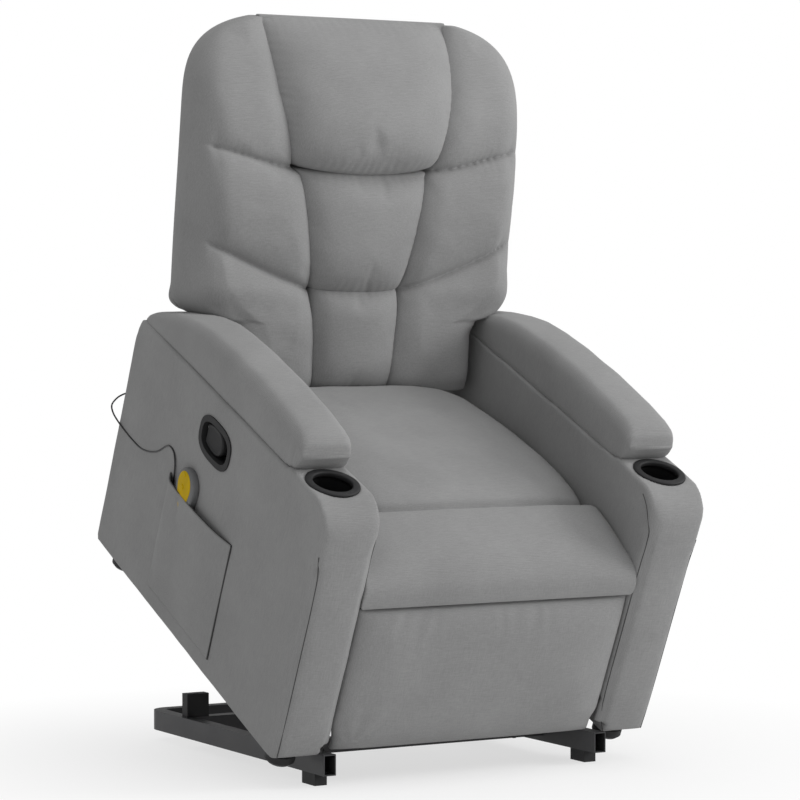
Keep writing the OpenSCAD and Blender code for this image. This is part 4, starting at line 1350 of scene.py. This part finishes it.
        under = np.clip((-normal[:, 2] - 0.2) / 0.5, 0, 1) * np.clip((80 - z) / 20, 0, 1)
        made = co + normal * (lift * (1 - under) - 1.2 * under)[:, None]
        # The cloth of the cup hole stands clear of the holder's wall.
        across, along = np.abs(made[:, 0]) - self.middle, made[:, 1] - self.cup_y
        reach = np.maximum(np.hypot(across, along), 1e-6)
        wide = np.where(reach < self.cup_room, self.cup_room / reach, 1.0)
        made[:, 0] = np.sign(made[:, 0]) * (self.middle + across * wide)
        made[:, 1] = along * wide + self.cup_y
        set_points(piece, made)

    def pad(self, side: Side) -> bpy.types.Object:
        """Make one arm pad."""
        mid, around, (fore, aft) = self.middle - 1, 48, self.pad_ends
        stations = [blend(fore, aft, smooth_share(i / 90)) for i in range(91)]
        points, faces = [], []
        for y in stations:
            lo = float(np.interp(y, *zip(*self.pad_low)))
            hi = float(np.interp(y, *zip(*self.pad_high)))
            end = smooth((y - fore + 6) / 22) * smooth((aft + 6 - y) / 30)
            w = self.pad_half * (0.86 + 0.14 * end)
            for k in range(around):
                a = 2 * math.pi * k / around
                c, s = math.cos(a), math.sin(a)
                x = mid + w * math.copysign(abs(c) ** 0.34, c)
                z = (lo + hi) / 2 + (hi - lo) / 2 * math.copysign(abs(s) ** (0.3 if s < 0 else 0.66), s)
                x -= 2.4 * hump(y - fore - 21, 4) * smooth((c - 0.55) * 4)
                z += 1.2 * wobble(x, y, side.value * 7.0, 60) * max(0.0, s)
                points.append((side.value * x, y, z))
        for j in range(len(stations) - 1):
            for k in range(around):
                a, b = j * around + k, j * around + (k + 1) % around
                faces.append((a, b, b + around, a + around))
        faces += [tuple(range(around)), tuple((len(stations) - 1) * around + k for k in range(around))]
        made = add_mesh(f"arm_pad_cover_{side.word}", points, faces, PLACES.chair())
        return take_place(made, "chair", "linen", f"arm_pad_{side.word}")

    def build(self) -> None:
        """Make both arms."""
        for side in Side:
            self.arm(side)
            self.pad(side)


def smooth_share(k: float) -> float:
    """Return a share whose steps are finer at both ends."""
    return 0.5 - 0.5 * math.cos(math.pi * k)


@dataclass
class SidePocket:
    """The cloth pocket on the sitter's right arm."""

    front: float = -138.0
    rear: float = 132.0
    low: float = 70.0
    high: float = 300.0
    depth: float = 13.8
    cloth: float = 1.4
    face: float = 388.3

    def at(self, u: float, v: float, out: float) -> Point:
        """Return a point of the cloth for shares back and up, a distance out from its inner face."""
        mouth = self.high - 2 * math.sin(math.pi * u ** 1.5) - 3 * math.sin(math.pi * u) + 4 * u
        room = 1.0
        if u < 0.5:
            room = math.sin(math.pi * u) ** 0.9
        elif u > 0.86:
            room = math.cos(math.pi / 2 * (u - 0.86) / 0.14)
        room = max(0.0, room * smooth(v / 0.42))
        y, z = blend(self.front, self.rear, u), blend(self.low, mouth, v)
        fold = (1.6 * wobble(y, z, 3.0, 62) + 0.6 * wobble(y, z, 8.0, 28)) * min(1.0, 6 * min(u, 1 - u, v))
        down, back = z - mouth, y - 60
        slack = 1.6 * math.sin(math.atan2(down, back) * 5 + 1.0) * math.exp(-math.hypot(down, back) / 90)
        return -(self.face + self.depth * room + out + fold + slack * room), y, z

    def build(self) -> bpy.types.Object:
        """Make the pocket, with a turned hem along its mouth, and thin dark tubes down its sides and along
        its mouth as painted seam shade.
        """
        nu, nv = 84, 60
        hem = [hump(1 - j / nv, 0.045) for j in range(nv + 1)]
        points = [self.at(i / nu, j / nv, self.cloth + hem[j]) for j in range(nv + 1) for i in range(nu + 1)]
        points += [self.at(i / nu, j / nv, 0.0) for j in range(nv + 1) for i in range(nu + 1)]
        n = (nu + 1) * (nv + 1)
        faces = grid_faces(nu, nv) + [tuple(reversed(f)) for f in grid_faces(nu, nv, n)]
        loop = border(nu, nv)
        faces += [(loop[(k + 1) % len(loop)], loop[k], n + loop[k], n + loop[(k + 1) % len(loop)])
                  for k in range(len(loop))]
        made = add_mesh("side_pocket_cloth", points, faces, PLACES.chair())
        # Thin dark tubes down the front and rear seams and just inside the mouth: painted shade.
        for name, u, out, radius in (("front", 0.0, 0.4, 1.5), ("rear", 1.0, 0.2, 0.7)):
            knots = [self.at(u, j / 12, out) for j in range(13)]
            sew_line(f"pocket_{name}_seam", smooth_line(knots, 4, PLACES.chair()), radius)
        knots = [self.at(i / 30, 1.0, -1.2) for i in range(31)]
        sew_line("pocket_mouth_shade", smooth_line(knots, 3, PLACES.chair()), 0.9)
        return take_place(made, "chair", "linen", "side_pocket")


@dataclass
class Handset:
    """The massage handset: a pear-shaped body with a yellow face and two buttons."""

    across: float = 49.0
    middle: float = 318.0
    half: float = 35.0
    buttons: tuple[tuple[str, float], ...] = (("power", 340.0), ("mode", 316.0))
    button_y: float = 54.0
    button_radius: float = 5.0
    case_layers: Outline = (
        (-386.6, 3), (-388, 0.6), (-390, 0), (-396.5, 0), (-399.4, 1.2), (-401, 3.6), (-401.6, 7))
    face_layers: Outline = ((-400.8, 0.4), (-401.9, 0), (-402.3, 0.5), (-402.5, 2.0))
    cap_layers: Outline = ((-400.9, 0), (-403.0, 0), (-403.5, 0.5), (-403.7, 1.4))

    def ring(self, half: Callable[[float], float], low: float, high: float,
             steps: int = 40) -> list[tuple[float, float]]:
        """Return an outline from its half width at each height."""
        zs = [blend(high, low, 0.5 - 0.5 * math.cos(math.pi * i / steps)) for i in range(1, steps)]
        return ([(self.across, high)] + [(self.across - half(z), z) for z in zs] + [(self.across, low)]
                + [(self.across + half(z), z) for z in reversed(zs)])

    def build(self) -> None:
        """Make the handset's pieces."""
        def body(z: float) -> float:
            """Return the body's half width."""
            if z > self.middle:
                return self.half * math.sqrt(max(0.0, 1 - ((z - self.middle) / self.half) ** 2))
            foot = math.sqrt(max(0.0, 1 - (max(0.0, 214 - z) / 22) ** 2))
            return blend(self.half, 20.0, smooth((self.middle - z) / 84)) * foot

        def face(z: float) -> float:
            """Return the yellow face's half width."""
            if z > 320:
                return 25 * math.sqrt(max(0.0, 1 - ((z - 320) / 28) ** 2))
            return 25 * max(0.0, 1 - ((320 - z) / 54) ** 1.7)

        made = stacked("handset_case", self.ring(body, 192, self.middle + self.half), self.case_layers,
                       PLACES.chair())
        take_place(made, "chair", "handset_grey", "handset_body")
        made = stacked("handset_panel", self.ring(face, 266, 348), self.face_layers, PLACES.chair())
        take_place(made, "chair", "handset_yellow", "handset_face")
        turns = [math.pi * k / 16 for k in range(31, -1, -1)]
        for word, z in self.buttons:
            r = self.button_radius
            outline = [(self.button_y + r * math.cos(a), z + r * math.sin(a)) for a in turns]
            made = stacked(f"{word}_button_cap", outline, self.cap_layers, PLACES.chair())
            take_place(made, f"{word}_button", "handset_yellow", f"{word}_button")


@dataclass
class PullPaddle:
    """The recline pull's paddle, nearly flush with its bezel."""

    centre: tuple[float, float] = (-4.0, 434.0)
    half_height: float = 25.0
    tail: Outline = ((37.0, 15.0), (35.0, 18.0), (26.0, 21.5), (12.0, 24.6))
    layers: Outline = (
        (-369, 1), (-370, 0), (-380.5, 0), (-383.4, 0.9), (-384.6, 2.6), (-384.9, 4.6),
        (-383.9, 6.2), (-383.4, 9), (-383.2, 14))

    def build(self) -> bpy.types.Object:
        """Make the paddle."""
        y0, z0 = self.centre
        arc = [(y0 + self.half_height * math.cos(a), z0 + self.half_height * math.sin(a))
               for a in (math.radians(90 + 180 * k / 24) for k in range(25))]
        outline = [(y, z0 + z) for y, z in self.tail] + arc + [(y, z0 - z) for y, z in reversed(self.tail)]
        made = stacked("pull_paddle", outline, self.layers, PLACES.chair())
        return take_place(made, "pull_handle", "black_plastic", "pull_handle")


@dataclass
class RearPanel:
    """The cloth-covered board that closes the chair's back below the backrest."""

    half_width: float = 279.5
    low: float = 60.0
    high: float = 330.0
    face: float = 364.0

    def build(self) -> bpy.types.Object:
        """Make the panel."""
        def front(u: float, v: float) -> Point:
            """Return the panel's rear-facing cloth."""
            k, m = abs(2 * u - 1), abs(2 * v - 1)
            crown = (1 - k ** 10) ** 0.5 * (1 - m ** 8) ** 0.5
            folds = 0.7 * wobble(u * 560, v * 270, 12.0, 60) * crown
            deep = self.face + 3.5 + 4.5 * crown + folds
            return (2 * u - 1) * self.half_width, deep, blend(self.low, self.high, v)

        def rear(u: float, v: float) -> Point:
            """Return the panel's hidden face."""
            return (2 * u - 1) * self.half_width, self.face, blend(self.low, self.high, v)

        made = crowned("rear_panel_cover", 60, 30, front, [], rear, PLACES.chair())
        return take_place(made, "chair", "linen", "rear_panel")


@dataclass
class CupRims:
    """The rolled lips of the two cup holders."""

    across: float = 332.6
    place: tuple[float, float] = (-329.0, 523.2)
    steps: int = 72
    section: Outline = (
        (36.8, -9.0), (35.2, -4.0), (34.6, 0.2), (35.4, 2.2), (37.6, 3.0), (44.5, 2.9),
        (47.6, 1.9), (48.4, -0.4))

    def build(self) -> None:
        """Make both lips."""
        n, (y0, z0) = len(self.section), self.place
        for side in Side:
            points, faces = [], []
            for k in range(self.steps):
                a, after = 2 * math.pi * k / self.steps, (k + 1) % self.steps
                points += [(side.value * self.across + r * math.cos(a), y0 + r * math.sin(a), z0 + h)
                           for r, h in self.section]
                faces += [(k * n + i, k * n + (i + 1) % n, after * n + (i + 1) % n, after * n + i)
                          for i in range(n)]
            made = add_mesh(f"cup_lip_{side.word}", points, faces, PLACES.chair())
            take_place(made, "chair", "black_plastic")


# ---------------------------------------------------------------- carried-over parts


@dataclass
class CarriedParts:
    """CAD nodes whose shape is right as it is, given their finishes."""

    def build(self) -> None:
        """Dress every CAD node that is still shown."""
        slots = {s["node"]: s["material_slot"] for s in frame["record"]["subparts"]}
        for name, node in sorted(frame["nodes"].items()):
            if node.hide_render:
                continue
            FINISHES.dress(node, slots[name])
            if name == "cup_holders":
                node.data.materials.clear()
                node.data.materials.append(FINISHES.well)
            LOG.info("%s keeps its solid (%s)", name, slots[name])


def main() -> None:
    """Build the chair's pieces in order."""
    logging.basicConfig(level=logging.INFO, format="%(message)s")
    Studio().build()
    FINISHES.make()
    HandsetCord().build()
    Backrest().build()
    SeatCushion().build()
    FootrestPad().build()
    ArmCovers().build()
    SidePocket().build()
    Handset().build()
    PullPaddle().build()
    CupRims().build()
    RearPanel().build()
    CarriedParts().build()


if __name__ == "__main__":
    main()
